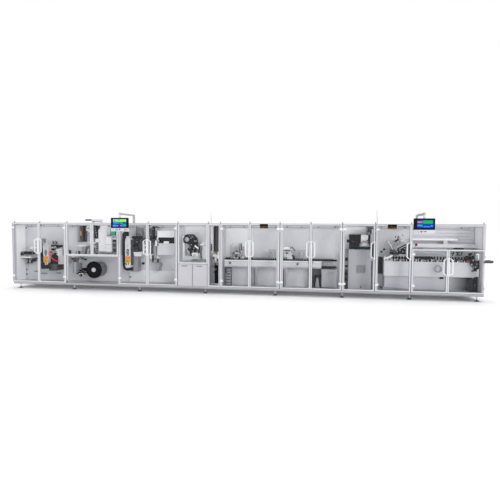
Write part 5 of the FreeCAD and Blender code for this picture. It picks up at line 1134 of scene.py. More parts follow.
    def unwind_fittings(self) -> None:
        """Add the dancer wheels and the rings of the reel."""
        maker = Maker("dancer_wheels")
        maker.wheels(BLACK, ZINC, (256, 262, 300), 0.45, (20, 14), ((1856, 436, 30), (1928, 517, 24),
                                                                    (1992, 563, 26), (1900, 470, 18),
                                                                    (2010, 470, 22)))
        maker.bar(ZINC, (1930, 330, 500), (2015, 330, 470), 9, 12)
        for u, z in ((1790, 880), (1850, 905)):
            maker.disc(STEEL, u, z, (300, 330), 24, 18)
        maker.bar(BLACK, (1930, 350, 880), (2085, 350, 845), 12, 12)
        maker.disc(BLACK, 2080, 846, (330, 370), 26)
        maker.plate(MID_COAT, ((1752, 740), (1890, 720), (1900, 800), (1830, 900), (1752, 906)), (290, 300))
        maker.wheels(DARK_COAT, STEEL, (270, 276, 290), 0.5, (18, 14), ((1770, 780, 30), (1840, 760, 24),
                                                                        (1880, 840, 30), (1800, 850, 18)))
        maker.wheels(BLACK, ZINC, (256, 262, 296), 0.4, (20, 14), ((2052, 520, 34), (2110, 470, 22),
                                                                   (1960, 380, 40), (2080, 420, 18)))
        maker.box(ACETAL, (1880, 2010), (300, 330), (396, 440), 6)
        maker.box(MID_COAT, (1800, 1884), (150, 298), (452, 780), 5)
        maker.box(DARK_COAT, (1800, 1815), (146, 151), (470, 770), 2)
        maker.plate(DARK_COAT, ((1740, 900), (1960, 900), (2000, 860), (1950, 836), (1900, 820), (1884, 780),
                                (1800, 780), (1790, 830), (1740, 860)), (150, 170))
        maker.wheels(BLACK, STEEL, (132, 136, 150), 0.5, (18, 14), ((1765, 880, 22), (1940, 868, 26),
                                                                    (1842, 840, 20)))
        maker.bar(BLACK, (2000, 300, 505), (2215, 300, 545), 16, 14)
        maker.place(slot="black_anodised")
        hub = Maker("reel_hub_rings")
        hub.ring(BLACK, (2446, 156, 563), 236, 9, 48)
        for radius, thick in ((60, 5), (198, 6), (226, 4)):
            hub.ring(BLACK if radius > 100 else STEEL, (2446, 149 if radius > 100 else 139, 563),
                     radius, thick, 40)
        hub.place("film_reel", "film_roll")

    def build(self) -> None:
        """Build and dress the film end."""
        self.finish()
        self.press_fronts()
        self.forming_fittings()
        self.coding_fittings()
        self.unwind_fittings()


@dataclass
class MiddleBays:
    """Sealing, punching and transfer stations, and the narrow web tower."""

    def finish(self) -> None:
        """Dress the nodes of the middle bays."""
        dress("sealing_station", MID_COAT, [
            Zone(BLACK, u=(3320, 3412), depth=(299, 700), z=(1000, 1650)),
            Zone(ACETAL, u=(3600, 3860), z=(960, 1092)),
            Zone(MID_COAT, u=(3640, 3860), z=(1546, 1800)), Zone(DARK_COAT, z=(1100, 1830))])
        dress("punching_station", DARK_COAT, [
            Zone(MID_COAT, z=(540, 776)), Zone(WHITE_COAT, u=(4000, 4320), z=(895, 1032)),
            Zone(STEEL, z=(1032, 1240)), Zone(CAST_IRON, z=(1240, 1570))])
        dress("transfer_feeder", BLACK, [
            Zone(WHITE_COAT, u=(5560, 5760)), Zone(ACETAL, u=(5325, 5520), depth=(200, 460), z=(990, 1100)),
            Zone(GREY_COAT, z=(870, 993)), Zone(WHITE_COAT, u=(5050, 5098), depth=(299, 392), z=(990, 1560)),
            Zone(STEEL, depth=(250, 329.5), z=(1380, 1560)), Zone(STEEL, u=(5140, 5240), z=(993, 1290))])
        dress("web_tower", DARK_COAT, [
            Zone(WHITE_COAT, u=(5896, 5962), depth=(298, 310), z=(1060, 1840)),
            Zone(BLACK, u=(5896, 5962), z=(1060, 1840)),
            Zone(STEEL, depth=(318, 349.5)), Zone(ACETAL, u=(5990, 6120), z=(900, 1060)),
            Zone(MID_COAT, u=(5900, 6120), depth=(240, 349), z=(700, 1060))])

    def sealing_fittings(self) -> None:
        """Add knobs, heads and lines of the sealing and punching stations."""
        maker = Maker("sealing_fittings")
        maker.disc(BLACK, 3724, 1378, (235, 245), 46, 24)
        maker.disc(STEEL, 3724, 1378, (228, 236), 15)
        for u, z in ((3560, 1430), (3620, 1500), (3780, 1460), (3800, 1200)):
            maker.disc(DARK_COAT, u, z, (320, 350), 16, 14)
        for number in range(3):
            maker.box(CAST_IRON, (3560 + 82 * number, 3610 + 82 * number), (322, 350),
                      (1150, 1230), 3)
        maker.disc(BLACK, 3760, 742, (540, 600), 34, 20)
        maker.disc(BLACK, 3355, 332, (560, 600), 20)
        for u, z, radius in ((4110, 1700, 44), (4200, 1640, 34), (4236, 1320, 40), (4120, 1180, 26),
                             (4170, 1480, 30)):
            maker.disc(BLACK, u, z, (372, 402), radius, 22)
            maker.disc(STEEL, u, z, (366, 372), radius * 0.5)
        maker.ring(ACETAL, (4290, 330, 1375), 58, 12, 26)
        maker.box(WHITE_COAT, (4296, 4318), (300, 340), (1290, 1460), 4)
        maker.box(GREY_COAT, (4330, 4780), (290, 296), (1300, 1303), 0.5)
        for u in (4400, 4470, 4560, 4650, 4720):
            maker.box(BLACK, (u, u + 44), (302, 420), (1400, 1440), 3)
            maker.bar(STEEL, (u + 20, 330, 1440), (u + 20, 330, 1500), 7, 10)
        for left, right, low in ((4350, 4500, 1344), (4650, 4806, 1344), (4350, 4806, 1440)):
            maker.box(BLACK, (left, right), (292, 301), (low, low + 60), 3)
        maker.box(BLACK, (4782, 4806), (292, 301), (1350, 1522), 3)
        maker.box(ACETAL, (4500, 4650), (290, 300), (1344, 1404), 5)
        for u in (4450, 4690):
            maker.box(RED, (u, u + 12), (288, 291), (1326, 1338), 1)
        maker.plate(WHITE_COAT, ((4232, 1270), (4330, 1262), (4346, 1300), (4340, 1390), (4250, 1400)),
                    (300, 318))
        # Black curved guard at the left of the second tower.
        outline = []
        for step in range(9):
            angle = math.radians(90 + 90 * step / 8)
            outline.append((3400 + 128 * math.cos(angle), 1570 + 120 * math.sin(angle)))
        outline += [(3274, 700), (3310, 590), (3400, 548), (3470, 560), (3470, 1640), (3420, 1690)]
        maker.plate(BLACK, outline, (250, 262))
        # Dark cross bar, housing, and the sheet under them.
        maker.box(BLACK, (3544, 3858), (282, 318), (1466, 1542), 4)
        maker.box(CAST_IRON, (3544, 3752), (300, 322), (1090, 1470), 5)
        maker.box(MID_COAT, (3544, 3716), (310, 348), (520, 1040), 4)
        maker.box(DARK_COAT, (3546, 3580), (304, 311), (540, 1020), 2)
        for z in (1150, 1210, 1330, 1390):
            maker.disc(DARK_COAT, 3590, z, (290, 301), 20)
        # Ribbed grey motor over the bar.
        maker.bar(MID_COAT, (3772, 400, 1545), (3772, 400, 1800), 74, 24)
        for z in range(1580, 1790, 30):
            maker.bar(DARK_COAT, (3772, 400, z), (3772, 400, z + 10), 78, 24)
        # Drives behind the fourth door.
        maker.blocks((352, 392), 6, ((4045, 1540, 90, 230, DARK_COAT), (4140, 1480, 70, 320, BLACK),
                                     (4215, 1560, 110, 220, MID_COAT), (4060, 1440, 150, 60, BLACK),
                                     (4076, 1040, 84, 400, DARK_COAT), (4164, 760, 96, 640, MID_COAT),
                                     (4120, 820, 60, 180, BLACK), (4250, 1440, 60, 80, STEEL)))
        maker.wheels(BLACK, STEEL, (333, 338, 352), 0.45, (20, 14), ((4090, 1600, 34), (4175, 1740, 30),
                                                                     (4270, 1640, 38), (4120, 1240, 30),
                                                                     (4205, 900, 26), (4190, 1320, 24),
                                                                     (4100, 1380, 20)))
        maker.plate(MID_COAT, ((4240, 545), (4320, 545), (4330, 760), (4262, 775), (4240, 700)), (352, 372))
        maker.place(slot="black_anodised")

    def feeder_fittings(self) -> None:
        """Add the rings of the disc, suction arms and lines of the feeder."""
        maker = Maker("feeder_fittings")
        for radius, thick in ((34, 4), (48, 3), (58, 4)):
            maker.ring(ACETAL if radius != 48 else BLACK, (5178, 283, 1462), radius, thick, 28)
        for start, end, radius in (((5100, 300, 1560), (5230, 300, 1610), 14),
                                   ((5230, 300, 1608), (5340, 300, 1560), 14),
                                   ((5290, 310, 1500), (5400, 310, 1420), 17),
                                   ((5400, 310, 1420), (5360, 310, 1290), 15),
                                   ((5300, 310, 1320), (5230, 310, 1240), 15),
                                   ((5230, 310, 1240), (5290, 310, 1120), 14),
                                   ((5380, 310, 1220), (5470, 310, 1120), 15),
                                   ((5320, 310, 1060), (5360, 310, 1180), 20)):
            maker.bar(BLACK, start, end, radius, 14)
            maker.disc(STEEL, start[0], start[2], (start[1] - 18, start[1] + 12), radius * 0.9, 14)
        maker.plate(ACETAL, ((5240, 1520), (5330, 1480), (5300, 1560), (5250, 1575)), (316, 328))
        maker.box(YELLOW, (5300, 5322), (322, 330), (1500, 1512), 1)
        # Castings of the arm, seen between its joints.
        for outline, kind, depth in (
                (((5066, 1380), (5130, 1350), (5250, 1350), (5300, 1430), (5240, 1560), (5120, 1560),
                  (5062, 1500)),
                 BLACK, (300, 312)),
                (((5240, 1540), (5300, 1590), (5400, 1560), (5462, 1440), (5430, 1380), (5330, 1470)),
                 BLACK, (304, 320)),
                (((5200, 1250), (5300, 1330), (5460, 1330), (5548, 1240), (5540, 1090), (5470, 1060),
                  (5430, 1190),
                  (5320, 1210), (5260, 1120), (5200, 1150)), BLACK, (312, 326)),
                (((5330, 980), (5400, 980), (5420, 1120), (5360, 1180), (5320, 1120)), BLACK,
                 (296, 312))):
            maker.plate(kind, outline, depth)
        maker.wheels(ZINC, BLACK, (276, 282, 296), 0.5, (18, 14), ((5130, 1455, 26), (5340, 1545, 24),
                                                                   (5440, 1420, 22), (5260, 1240, 26),
                                                                   (5480, 1150, 24), (5360, 1140, 22)))
        maker.plate(ACETAL, ((5388, 1270), (5500, 1190), (5520, 1230), (5410, 1310)), (300, 311))
        maker.box(WHITE_COAT, (5547, 5669), (330, 400), (1296, 1344), 8)
        maker.box(BLACK, (5330, 5500), (262, 300), (886, 905), 2)
        for u in (5380, 5410):
            maker.box(BLACK, (u, u + 14), (264, 270), (1008, 1050), 1)
        maker.place(slot="black_anodised")

    def tower_fittings(self) -> None:
        """Add the cone, guide rollers and lines of the narrow bay."""
        maker = Maker("tower_fittings")
        maker.bar(ACETAL, (6040, 262, 990), (6150, 262, 930), 46, 20, 20)
        maker.disc(BLACK, 5955, 960, (232, 250), 14)
        for z in (280, 420, 560, 700, 1140, 1300, 1460, 1620, 1780):
            maker.disc(STEEL, 6000, z, (316, 350), 17, 14)
            maker.disc(BLACK, 6045, z + 40, (316, 350), 12, 12)
        maker.box(MID_COAT, (5912, 5946), (292, 300), (1770, 1812), 3)
        # Dark columns on both sides of the web, pale slotted strip in front.
        maker.box(DARK_COAT, (5956, 6128), (288, 297), (1130, 1840), 3)
        maker.box(BLACK, (5956, 5990), (284, 289), (1150, 1830), 2)
        maker.box(BLACK, (6092, 6128), (284, 289), (1150, 1830), 2)
        maker.box(WHITE_COAT, (5876, 5944), (284, 297), (1110, 1826), 3)
        maker.box(BLACK, (5878, 5906), (280, 285), (1150, 1340), 3)
        maker.box(MID_COAT, (5900, 5976), (288, 297), (246, 834), 4)
        maker.box(BLACK, (5976, 6128), (286, 297), (246, 834), 4)
        maker.box(GREY_COAT, (5880, 6128), (280, 300), (212, 246), 4)
        for z in range(1130, 1810, 58):
            maker.box(BLACK, (5926, 5944), (280, 285), (z, z + 34), 2)
        maker.wheels(BLACK, STEEL, (246, 252, 300), 0.5, (20, 14), ((5960, 860, 34), (6040, 900, 40),
                                                                    (5990, 1020, 26), (6060, 790, 30),
                                                                    (5950, 720, 26), (6020, 640, 24),
                                                                    (5960, 560, 22)))
        maker.plate(ACETAL, ((5930, 1040), (6020, 1075), (6100, 1010), (6110, 960), (6040, 985), (5940, 985)),
                    (236, 250))
        maker.place(slot="pale_plastic")

    def build(self) -> None:
        """Build and dress the middle bays."""
        self.finish()
        self.sealing_fittings()
        self.feeder_fittings()
        self.tower_fittings()


@dataclass
class CartonEnd:
    """Bench, folder, cartoner and outfeed of the last bays."""

    def finish(self) -> None:
        """Dress the nodes of the carton end."""
        dress("transfer_bench", GREY_COAT, [
            Zone(WHITE_COAT, depth=(336, 452), z=(872, 940)), Zone(BEAM_COAT, depth=(336, 452), z=(712, 748)),
            Zone(DARK_COAT, u=(6235, 6445), z=(185, 715)), Zone(DARK_COAT, u=(8620, 8905), z=(185, 714)),
            Zone(ZINC, depth=(330, 359.5), z=(780, 860))])
        dress("lug_chains", BLACK, [
            Zone(GREY_COAT, u=(6200, 9400), depth=(569, 700), z=(768.5, 1000)),
            Zone(ACETAL, u=(10400, 10735), z=(990, 1100)), Zone(STEEL, u=(10400, 12900), z=(940, 995))])
        dress("bench_stations", WHITE_COAT, [
            Zone(ACRYLIC, u=(6455, 6467)), Zone(ACRYLIC, u=(6819, 6831)),
            Zone(ACRYLIC, u=(6467, 6819), depth=(444, 451)), Zone(STEEL, u=(6455, 6831), z=(985, 1400)),
            Zone(ACRYLIC, u=(7465, 7695)), Zone(ACRYLIC, u=(8253, 8480)),
            Zone(ACETAL, u=(7850, 8060), z=(1195, 1300)), Zone(BLACK, depth=(330, 349.5)),
            Zone(DARK_COAT, u=(8120, 8250), z=(930, 1085)), Zone(GREY_COAT, u=(7880, 8200), z=(1010, 1190))])
        dress("leaflet_folder", CABINET_COAT, [
            Zone(VENT_COAT, u=(9800, 10030), depth=(240, 249.5), z=(630, 836)),
            Zone(DARK_COAT, u=(9470, 9600), z=(185, 1222)),
            Zone(ACETAL, u=(9900, 10080), depth=(240, 352), z=(1470, 1645)),
            Zone(MID_COAT, u=(9850, 10150), depth=(230, 352), z=(1326, 1472)),
            Zone(BLACK, z=(1246, 1641)), Zone(ZINC, z=(1641, 1900))])
        # The base of the cartoner body takes the base sheet, whose painted shade darkens it towards the right
        # end.
        dress("cartoner_body", GREY_COAT, [
            Zone(SHADE_PAINTED_BASE_SHEET, z=(185, 569.5)), Zone(BLACK, u=(10390, 10499.5)),
            Zone(BLACK, u=(12590, 12725), z=(950, 1200))])
        dress("carton_magazine", GREY_COAT, [
            Zone(DARK_COAT, u=(10690, 10940), z=(1090, 1262)), Zone(BACK_SHEET, u=(10600, 10765)),
            Zone(CABINET_COAT, z=(1262, 1900))])
        dress("top_belts", WHITE_COAT, [
            Zone(GREY_COAT, z=(1305, 1500)), Zone(BLACK, z=(1200, 1312.5))])
        dress("outfeed_conveyor", DARK_COAT, [Zone(RUBBER, depth=(318.5, 461.5))])
        dress("signal_masts", GREY_COAT, [Zone(ACETAL, z=(2080, 2400))])

    def bench_fittings(self) -> None:
        """Add edges, knobs and small parts of the bench and its stations."""
        maker = Maker("bench_fittings")
        for u in (6400, 8264):
            maker.disc(DARK_COAT, u, 822, (330, 338), 27, 20)
        maker.plate(RED, ((6624, 1150), (6694, 1110), (6690, 1080)), (362, 372))
        maker.bar(BLACK, (6560, 366, 1180), (6650, 366, 1120), 8, 10)
        maker.ring(BLACK, (6560, 380, 1100), 46, 6, 22)
        maker.ring(BLACK, (6720, 380, 1150), 42, 6, 22)
        maker.bar(BLACK, (6540, 375, 1010), (6600, 375, 980), 16, 12)
        for u in (6668, 6712):
            maker.bar(DARK_COAT, (u, 400, 1180), (u, 400, 1372), 11, 12)
        maker.bar(ACETAL, (7850, 372, 1250), (8010, 372, 1250), 34, 22)
        maker.bar(BLACK, (7836, 372, 1250), (7850, 372, 1250), 20, 16)
        maker.bar(BLACK, (8110, 352, 1060), (8180, 352, 960), 12, 12)
        maker.disc(BLACK, 7960, 1118, (332, 345), 22, 18)
        maker.ring(BLACK, (8110, 352, 1150), 26, 5, 20)
        for left in (7471, 8259):
            for share in (0.12, 0.46, 0.8):
                u = left + 216 * share
                maker.bar(MID_COAT, (u, 400, 938), (u, 400, 1200), 5, 10)
            maker.box(MID_COAT, (left + 4, left + 212), (362, 366), (1176, 1184), 1)
            for share in (0.14, 0.66):
                u = left + 216 * share
                maker.box(ACRYLIC, (u, u + 52), (358, 366), (936, 1150), 4)
                maker.box(BEAM_COAT, (u + 6, u + 46), (366, 372), (936, 1140), 3)
        for u in (8560, 8600, 8640, 8672):
            maker.disc(ZINC, u, 890, (340, 350), 13, 14)
            maker.disc(DARK_COAT, u, 858, (336, 350), 9, 12)
        maker.box(MID_COAT, (6245, 8900), (348, 350), (866, 869), 0.5)
        maker.box(MID_COAT, (6242, 8900), (336, 338), (733, 737), 0.5)
        # Black guide along the top of the bench, and the pale pegs on it.
        maker.box(BLACK, (6248, 8898), (328, 337.4), (914, 948), 1)
        for step in range(24):
            u = 7060 + 26 * step
            maker.box((ACETAL, BLACK)[step % 2], (u, u + 13), (352, 364), (932, 966 + 20 * (step % 2)),
                      1)
        for step in range(30):
            u = 7880 + 24 * step
            maker.box((ACETAL, BLACK)[step % 2], (u, u + 10), (352, 364), (932, 956 + 6 * (step % 3)),
                      1)
        # Black belts at the end of the bench.
        maker.box(BLACK, (8894, 9316), (446, 449.6), (908, 950), 1)
        maker.box(BLACK, (8940, 9318), (446, 449.6), (716, 748), 1)
        for u in (8960, 9070, 9180, 9290):
            maker.box(MID_COAT, (u, u + 8), (446, 450), (752, 904), 0.5)
        # Dark gaps in the last pedestal and seams of its cabinet.
        maker.plate(BLACK, ((8700, 200), (8738, 200), (8770, 470), (8830, 470), (8860, 200), (8905, 200),
                                     (8905, 540), (8700, 540)), (344, 350))
        maker.plate(MID_COAT, ((8745, 200), (8855, 200), (8826, 455), (8776, 455)), (344, 350))
        # Shaded sides of the bench legs.
        for left, right in ((7080, 7176), (7874, 7960)):
            maker.box(MID_COAT, (left, right), (350, 358), (192, 690), 1)
            maker.box(DARK_COAT, (left + 4, left + 26), (348, 351), (194, 688), 1)
        # Hopper rods and plates.
        for u in (6400, 6440, 6640):
            maker.bar(ZINC, (u, 385, 960), (u, 385, 1330), 7, 10)
        maker.blocks((368, 396), 4, ((6400, 950, 110, 60, MID_COAT), (6540, 960, 60, 90, DARK_COAT),
                                     (6470, 1060, 40, 60, DARK_COAT), (6620, 940, 70, 50, BLACK),
                                     (6440, 1130, 30, 60, STEEL), (6690, 950, 60, 60, MID_COAT)))
        maker.box(BLACK, (6668, 6684), (390, 410), (1100, 1340), 2)
        maker.box(BLACK, (6704, 6720), (390, 410), (1140, 1340), 2)
        # Printer: white hood over a dark slot, arm and dark foot.
        maker.box(ACETAL, (7868, 8100), (338, 372), (1208, 1262), 12)
        maker.box(BLACK, (7900, 8060), (334, 350), (1178, 1196), 2)
        maker.bar(DARK_COAT, (8100, 340, 1290), (8200, 340, 1180), 14, 14)
        maker.box(MID_COAT, (8060, 8090), (338, 356), (1230, 1300), 3)
        for u in (7900, 7960, 8020):
            maker.box(STEEL, (u, u + 14), (348, 364), (980, 1120), 2)
        for u, z in ((6290, 640), (6290, 560), (6360, 500)):
            maker.disc(BLACK, u, z, (345, 360), 26, 18)
            maker.disc(ZINC, u, z, (340, 345), 10, 12)
        maker.place(slot="zinc_steel")

    def folder_fittings(self) -> None:
        """Add knob, marks and hatch of the folder."""
        maker = Maker("folder_fittings")
        maker.bar(BLACK, (9563, 400, 1460), (9630, 400, 1460), 44, 20, 30)
        for u in (9700, 9880, 10130):
            maker.plate(RED, ((u, 1452), (u + 38, 1440), (u + 40, 1452), (u + 4, 1464)), (238, 246) if
                        9870 < u < 10100 else (346, 350))
        for u in (9895, 10095):
            maker.disc(BLACK, u, 1425, (246, 254), 12, 12)
        maker.box(BLACK, (10095, 10140), (344, 352), (1560, 1625), 3)
        for z in (1690, 1760, 1820):
            maker.disc(BLACK, 10110, z, (372, 392), 17, 14)
            maker.disc(ZINC, 10165, z - 20, (376, 392), 22)
        maker.disc(BLACK, 9926, 258, (244, 250), 20, 18)
        maker.box(WHITE_COAT, (9500, 10140), (560, 599), (1226, 1800), 2)
        maker.box(MID_COAT, (9496, 9604), (384, 394), (700, 1222), 2)
        for z, tall in ((930, 90), (760, 60), (560, 60), (400, 70)):
            maker.box(BLACK, (9520, 9596), (378, 386), (z, z + tall), 2)
        maker.box(DARK_COAT, (10188, 10214), (296, 300), (196, 950), 2)
        for u, z, wide, tall in ((10084, 1690, 60, 44), (10130, 1780, 90, 40), (10150, 1640, 40, 130),
                                 (10090, 1800, 40, 30)):
            maker.box(DARK_COAT, (u, u + wide), (362, 380), (z, z + tall), 3)
        # Clear funnel over the pale hopper, on a black slide.
        maker.plate(GREY_COAT, ((9906, 1444), (9930, 1444), (9948, 1600), (9906, 1622)), (236, 248))
        maker.plate(BLACK, ((9850, 1250), (10150, 1250), (10150, 1318), (9850, 1318)), (232, 240))
        maker.plate(ACETAL, ((9916, 1500), (10080, 1500), (10092, 1622), (9906, 1622)), (234, 240))
        maker.plate(MID_COAT, ((9880, 1322), (10120, 1322), (10070, 1440), (9930, 1440)), (226, 230))
        maker.plate(GREY_COAT, ((9920, 1345), (10080, 1345), (10046, 1420), (9954, 1420)), (223, 226))
        maker.box(MID_COAT, (9640, 10150), (247, 249.5), (1228, 1231), 0.5)
        maker.place(slot="black_anodised")

    def cartoner_fittings(self) -> None:
        """Add small parts along the carton track and the drive end."""
        maker = Maker("cartoner_fittings")
        # Carton track: uneven rails, lugs and guides, denser before the second door.
        marks = ((0, 26, 46, 0), (34, 18, 70, 1), (60, 34, 30, 0), (98, 12, 86, 2), (118, 40, 52, 0),
                 (166, 22, 34, 1),
                 (196, 30, 62, 3), (232, 14, 44, 0), (254, 36, 26, 4), (300, 24, 74, 0), (330, 16, 40, 1),
                 (352, 44, 56, 0))
        kinds = (BLACK, ACETAL, STEEL, MID_COAT, RED)
        for start in (10731, 11256, 11640, 12130):
            for at, wide, tall, kind in marks:
                maker.box(kinds[kind], (start + at, start + at + wide), (272, 300), (949.5, 950 + tall), 3)
        for left, right, low, high in ((11280, 11760, 1010, 1066), (10760, 11090, 1020, 1052),
                                       (12150, 12420, 1000, 1030),
                                       (11256, 11560, 962, 1000)):
            maker.box(BLACK, (left, right), (301, 320), (low, high), 4)
        for left, right, z in ((11277, 11990, 1120), (11300, 11960, 1146), (11300, 11900, 1082)):
            maker.box(MID_COAT, (left, right), (392, 400), (z, z + 12), 1)
        for u, z, wide in ((11340, 1246, 150), (12170, 1160, 70), (12290, 1180, 90), (12330, 1120, 60)):
            maker.box(DARK_COAT, (u, u + wide), (352, 372), (z, z + 34), 5)
        for u in (12200, 12300, 12400):
            maker.bar(BLACK, (u, 340, 1110), (u + 30, 340, 1210), 14, 12)
            maker.disc(ZINC, u, 1106, (332, 340), 17, 14)
        for u in (10560, 10640, 11300, 11420, 11860, 12120, 12320):
            maker.disc(BLACK, u, 990, (284, 300), 16, 14)
        for u in (10490, 10556):
            maker.bar(BLACK, (u, 560, 1180 + (u - 10490)), (u, 600, 1180 + (u - 10490)), 26, 16)
        maker.bar(RED, (12560, 306, 1010), (12680, 306, 980), 13, 12)
        maker.bar(BLACK, (12500, 306, 1040), (12790, 306, 960), 15, 12)
        maker.bar(BLACK, (12700, 300, 900), (12700, 340, 760), 26, 14)
        maker.plate(BLACK, ((12640, 930), (12780, 940), (12786, 1010), (12700, 1030), (12620, 1000)),
                    (284, 300))
        maker.box(RED, (12460, 12544), (280, 300), (972, 1004), 5)
        maker.box(WHITE_COAT, (12716, 12780), (210, 236), (600, 764), 5)
        maker.box(BLACK, (12560, 12630), (300, 320), (1120, 1190), 6)
        maker.bar(BLACK, (12650, 330, 1149), (12650, 330, 1190), 18, 14)
        for u, z in ((12640, 860), (12690, 800), (12650, 740)):
            maker.disc(BLACK, u, z, (238, 250), 24, 18)
            maker.disc(ZINC, u, z, (232, 238), 9, 12)
        maker.box(BLACK, (11900, 11986), (300, 330), (514, 575), 4)
        maker.box(BLACK, (12560, 12650), (310, 332), (505, 567), 4)
        maker.bar(RUBBER, (12395, 440, 1300), (12415, 440, 1316), 26, 16)
        maker.box(BLACK, (11302, 11326), (386, 400), (1345, 1423), 2)
        maker.box(RED, (11328, 11352), (388, 400), (1350, 1418), 2)
        maker.box(MID_COAT, (10510, 12715), (243, 245), (896, 899), 0.5)
        for u in (11218, 11962):
            maker.box(MID_COAT, (u, u + 4), (242, 246), (585, 940), 0.5)
        # Black exit shield and belt at the end of the cartoner.
        maker.box(BLACK, (12560, 12780), (184, 193), (928, 998), 3)
        maker.plate(BLACK, ((12640, 930), (12780, 930), (12780, 800), (12740, 735), (12660, 735)), (184, 193))
        maker.plate(WHITE_COAT, ((12726, 770), (12780, 810), (12780, 600), (12750, 600)), (178, 184))
        maker.wheels(DARK_COAT, STEEL, (167, 172, 184), 0.45, (20, 14), ((12600, 900, 34), (12640, 1016, 30),
                                                                         (12696, 850, 34), (12640, 836, 26),
                                                                         (12720, 920, 28)))
        maker.bar(RED, (12500, 178, 950), (12530, 178, 960), 12, 12)
        # Hand wheel rim, with the pale cover inside it.
        maker.ring(CABINET_COAT, (11813, 186, 778), 88, 9, 40)
        maker.ring(MID_COAT, (11813, 189, 778), 74, 3, 40)
        maker.box(BLACK, (11262, 11700), (452, 462), (1000, 1074), 2)
        # Black sheet beside the base at the right end, painted shade of the dark gap there, with its small
        # boxes.
        maker.box(BLACK, (12718, 12806), (300, 306), (192, 590), 2)
        maker.box(DARK_COAT, (12730, 12770), (292, 300), (330, 420), 3)
        maker.box(CAST_IRON, (12560, 12640), (232, 242), (230, 300), 3)
        for u, z in ((12600, 350), (12660, 420)):
            maker.disc(CAST_IRON, u, z, (234, 243), 22, 18)
        # Discharge duct that lies along the base, with its dark mouth.
        maker.plate(MID_COAT, ((10398, 280), (10420, 296), (10520, 262), (11150, 232), (12600, 222),
                               (12600, 194),
                               (10520, 194), (10430, 216)), (300, 326))
        maker.plate(BLACK, ((10398, 280), (10420, 292), (10500, 250), (10490, 226), (10430, 230)), (296, 300))
        maker.place(slot="black_anodised")

    def magazine_fittings(self) -> None:
        """Fill the magazine with flat blanks and add its feelers."""
        maker = Maker("magazine_fittings")
        slope, pitch, tall = math.radians(30), 19, 150
        for step in range(14):
            u = 10770 + pitch * step * math.cos(slope)
            z = 1256 + pitch * step * math.sin(slope)
            lean = (-math.sin(slope) * tall, math.cos(slope) * tall)
            maker.plate(ACETAL, ((u, z), (u + 5, z + 3), (u + 5 + lean[0], z + 3 + lean[1]),
                                       (u + lean[0], z + lean[1])), (385, 560))
        maker.plate(BLACK, ((10760, 1236), (10800, 1220), (11070, 1372), (11062, 1404)), (374, 384))
        maker.plate(MID_COAT, ((10720, 1290), (10752, 1262), (10860, 1440), (10836, 1462)), (374, 384))
        maker.plate(STEEL, ((10748, 1300), (10790, 1250), (11010, 1376), (10975, 1436)), (366, 374))
        maker.plate(DARK_COAT, ((10760, 1470), (10800, 1440), (10900, 1500), (10868, 1540)), (376, 384))
        maker.plate(BLACK, ((10645, 1140), (10740, 1130), (10990, 1200), (11060, 1330), (10960, 1250),
                                     (10800, 1210), (10690, 1230)), (360, 372))
        maker.plate(ACETAL, ((10502, 985), (10640, 1030), (10730, 1090), (10700, 1120), (10600, 1060),
                                   (10504, 1040)), (268, 280))
        maker.plate(BLACK, ((10790, 1150), (11050, 1130), (11058, 1340), (10960, 1290), (10850, 1232)),
                    (330, 340))
        for u, z in ((10840, 1200), (10910, 1236), (10980, 1200), (11020, 1280)):
            maker.disc(CABINET_COAT, u, z, (322, 330), 15)
        for u, z in ((10790, 1600), (10850, 1610)):
            maker.box(BLACK, (u, u + 26), (376, 390), (z - 46, z), 4)
        for u, z in ((10830, 1560), (10870, 1590), (10960, 1640), (10800, 1500)):
            maker.bar(BLACK, (u, 372, z), (u + 34, 372, z - 26), 8, 10)
        maker.bar(RED, (10850, 366, 1545), (10885, 366, 1530), 9, 10)
        for u, z in ((10760, 1180), (10820, 1230), (10880, 1160), (10830, 1120), (10700, 1200)):
            maker.disc(BLACK, u, z, (338, 352), 24, 18)
            maker.disc(ZINC, u, z, (334, 338), 9, 12)
        maker.place(slot="pale_plastic")

    def belt_rows(self) -> None:
        """Lay the links of the chains and the ribs of the belts with row trees."""
        pitch = (24.4, 0, 0)
        rows = [
            Row(Element.SLAT, BLACK, (6260, 448, 946), pitch, 124, (14, 4, 10)),
            Row(Element.SLAT, BLACK, (8912, 448, 742), pitch, 16, (14, 4, 10)),
            Row(Element.SLAT, ZINC, (10520, 299, 972), pitch, 84, (12, 2, 8)),
            Row(Element.SLAT, ZINC, (12744, 390, 990), (14, 0, 0), 29, (3, 142, 2)),
        ]
        place_rows("belt_links", rows)

    def door_plates(self) -> None:
        """Put the cover on the last door and the plain plates on two others."""
        cover = Maker("outfeed_door_cover")
        cover.box(DARK_COAT, (12798, 12836), (-38.5, -36), (958, 1010), 1)
        cover.place("door_i2")
        for door, left in (("f2", 7270), ("h", 10525)):
            plates = Maker(f"plain_plate_{door}")
            plates.box(BLACK_PLASTIC, (left, left + 220), (-17.6, -14), (1774, 1861), 2)
            plates.box(BLACK_PLASTIC, (left, left + 220), (-37.4, -36), (1861, 1893), 0.6)
            plates.box(YELLOW, (left + 5, left + 215), (-18, -17.4), (1778, 1789), 0.4)
            plates.box(BRONZE, (left + 20, left + 200), (-18, -17.4), (1826, 1832), 0.4)
            plates.place(f"door_{door}")

    def build(self) -> None:
        """Build and dress the carton end."""
        self.finish()
        self.bench_fittings()
        self.folder_fittings()
        self.cartoner_fittings()
        self.magazine_fittings()
        self.belt_rows()
        self.door_plates()


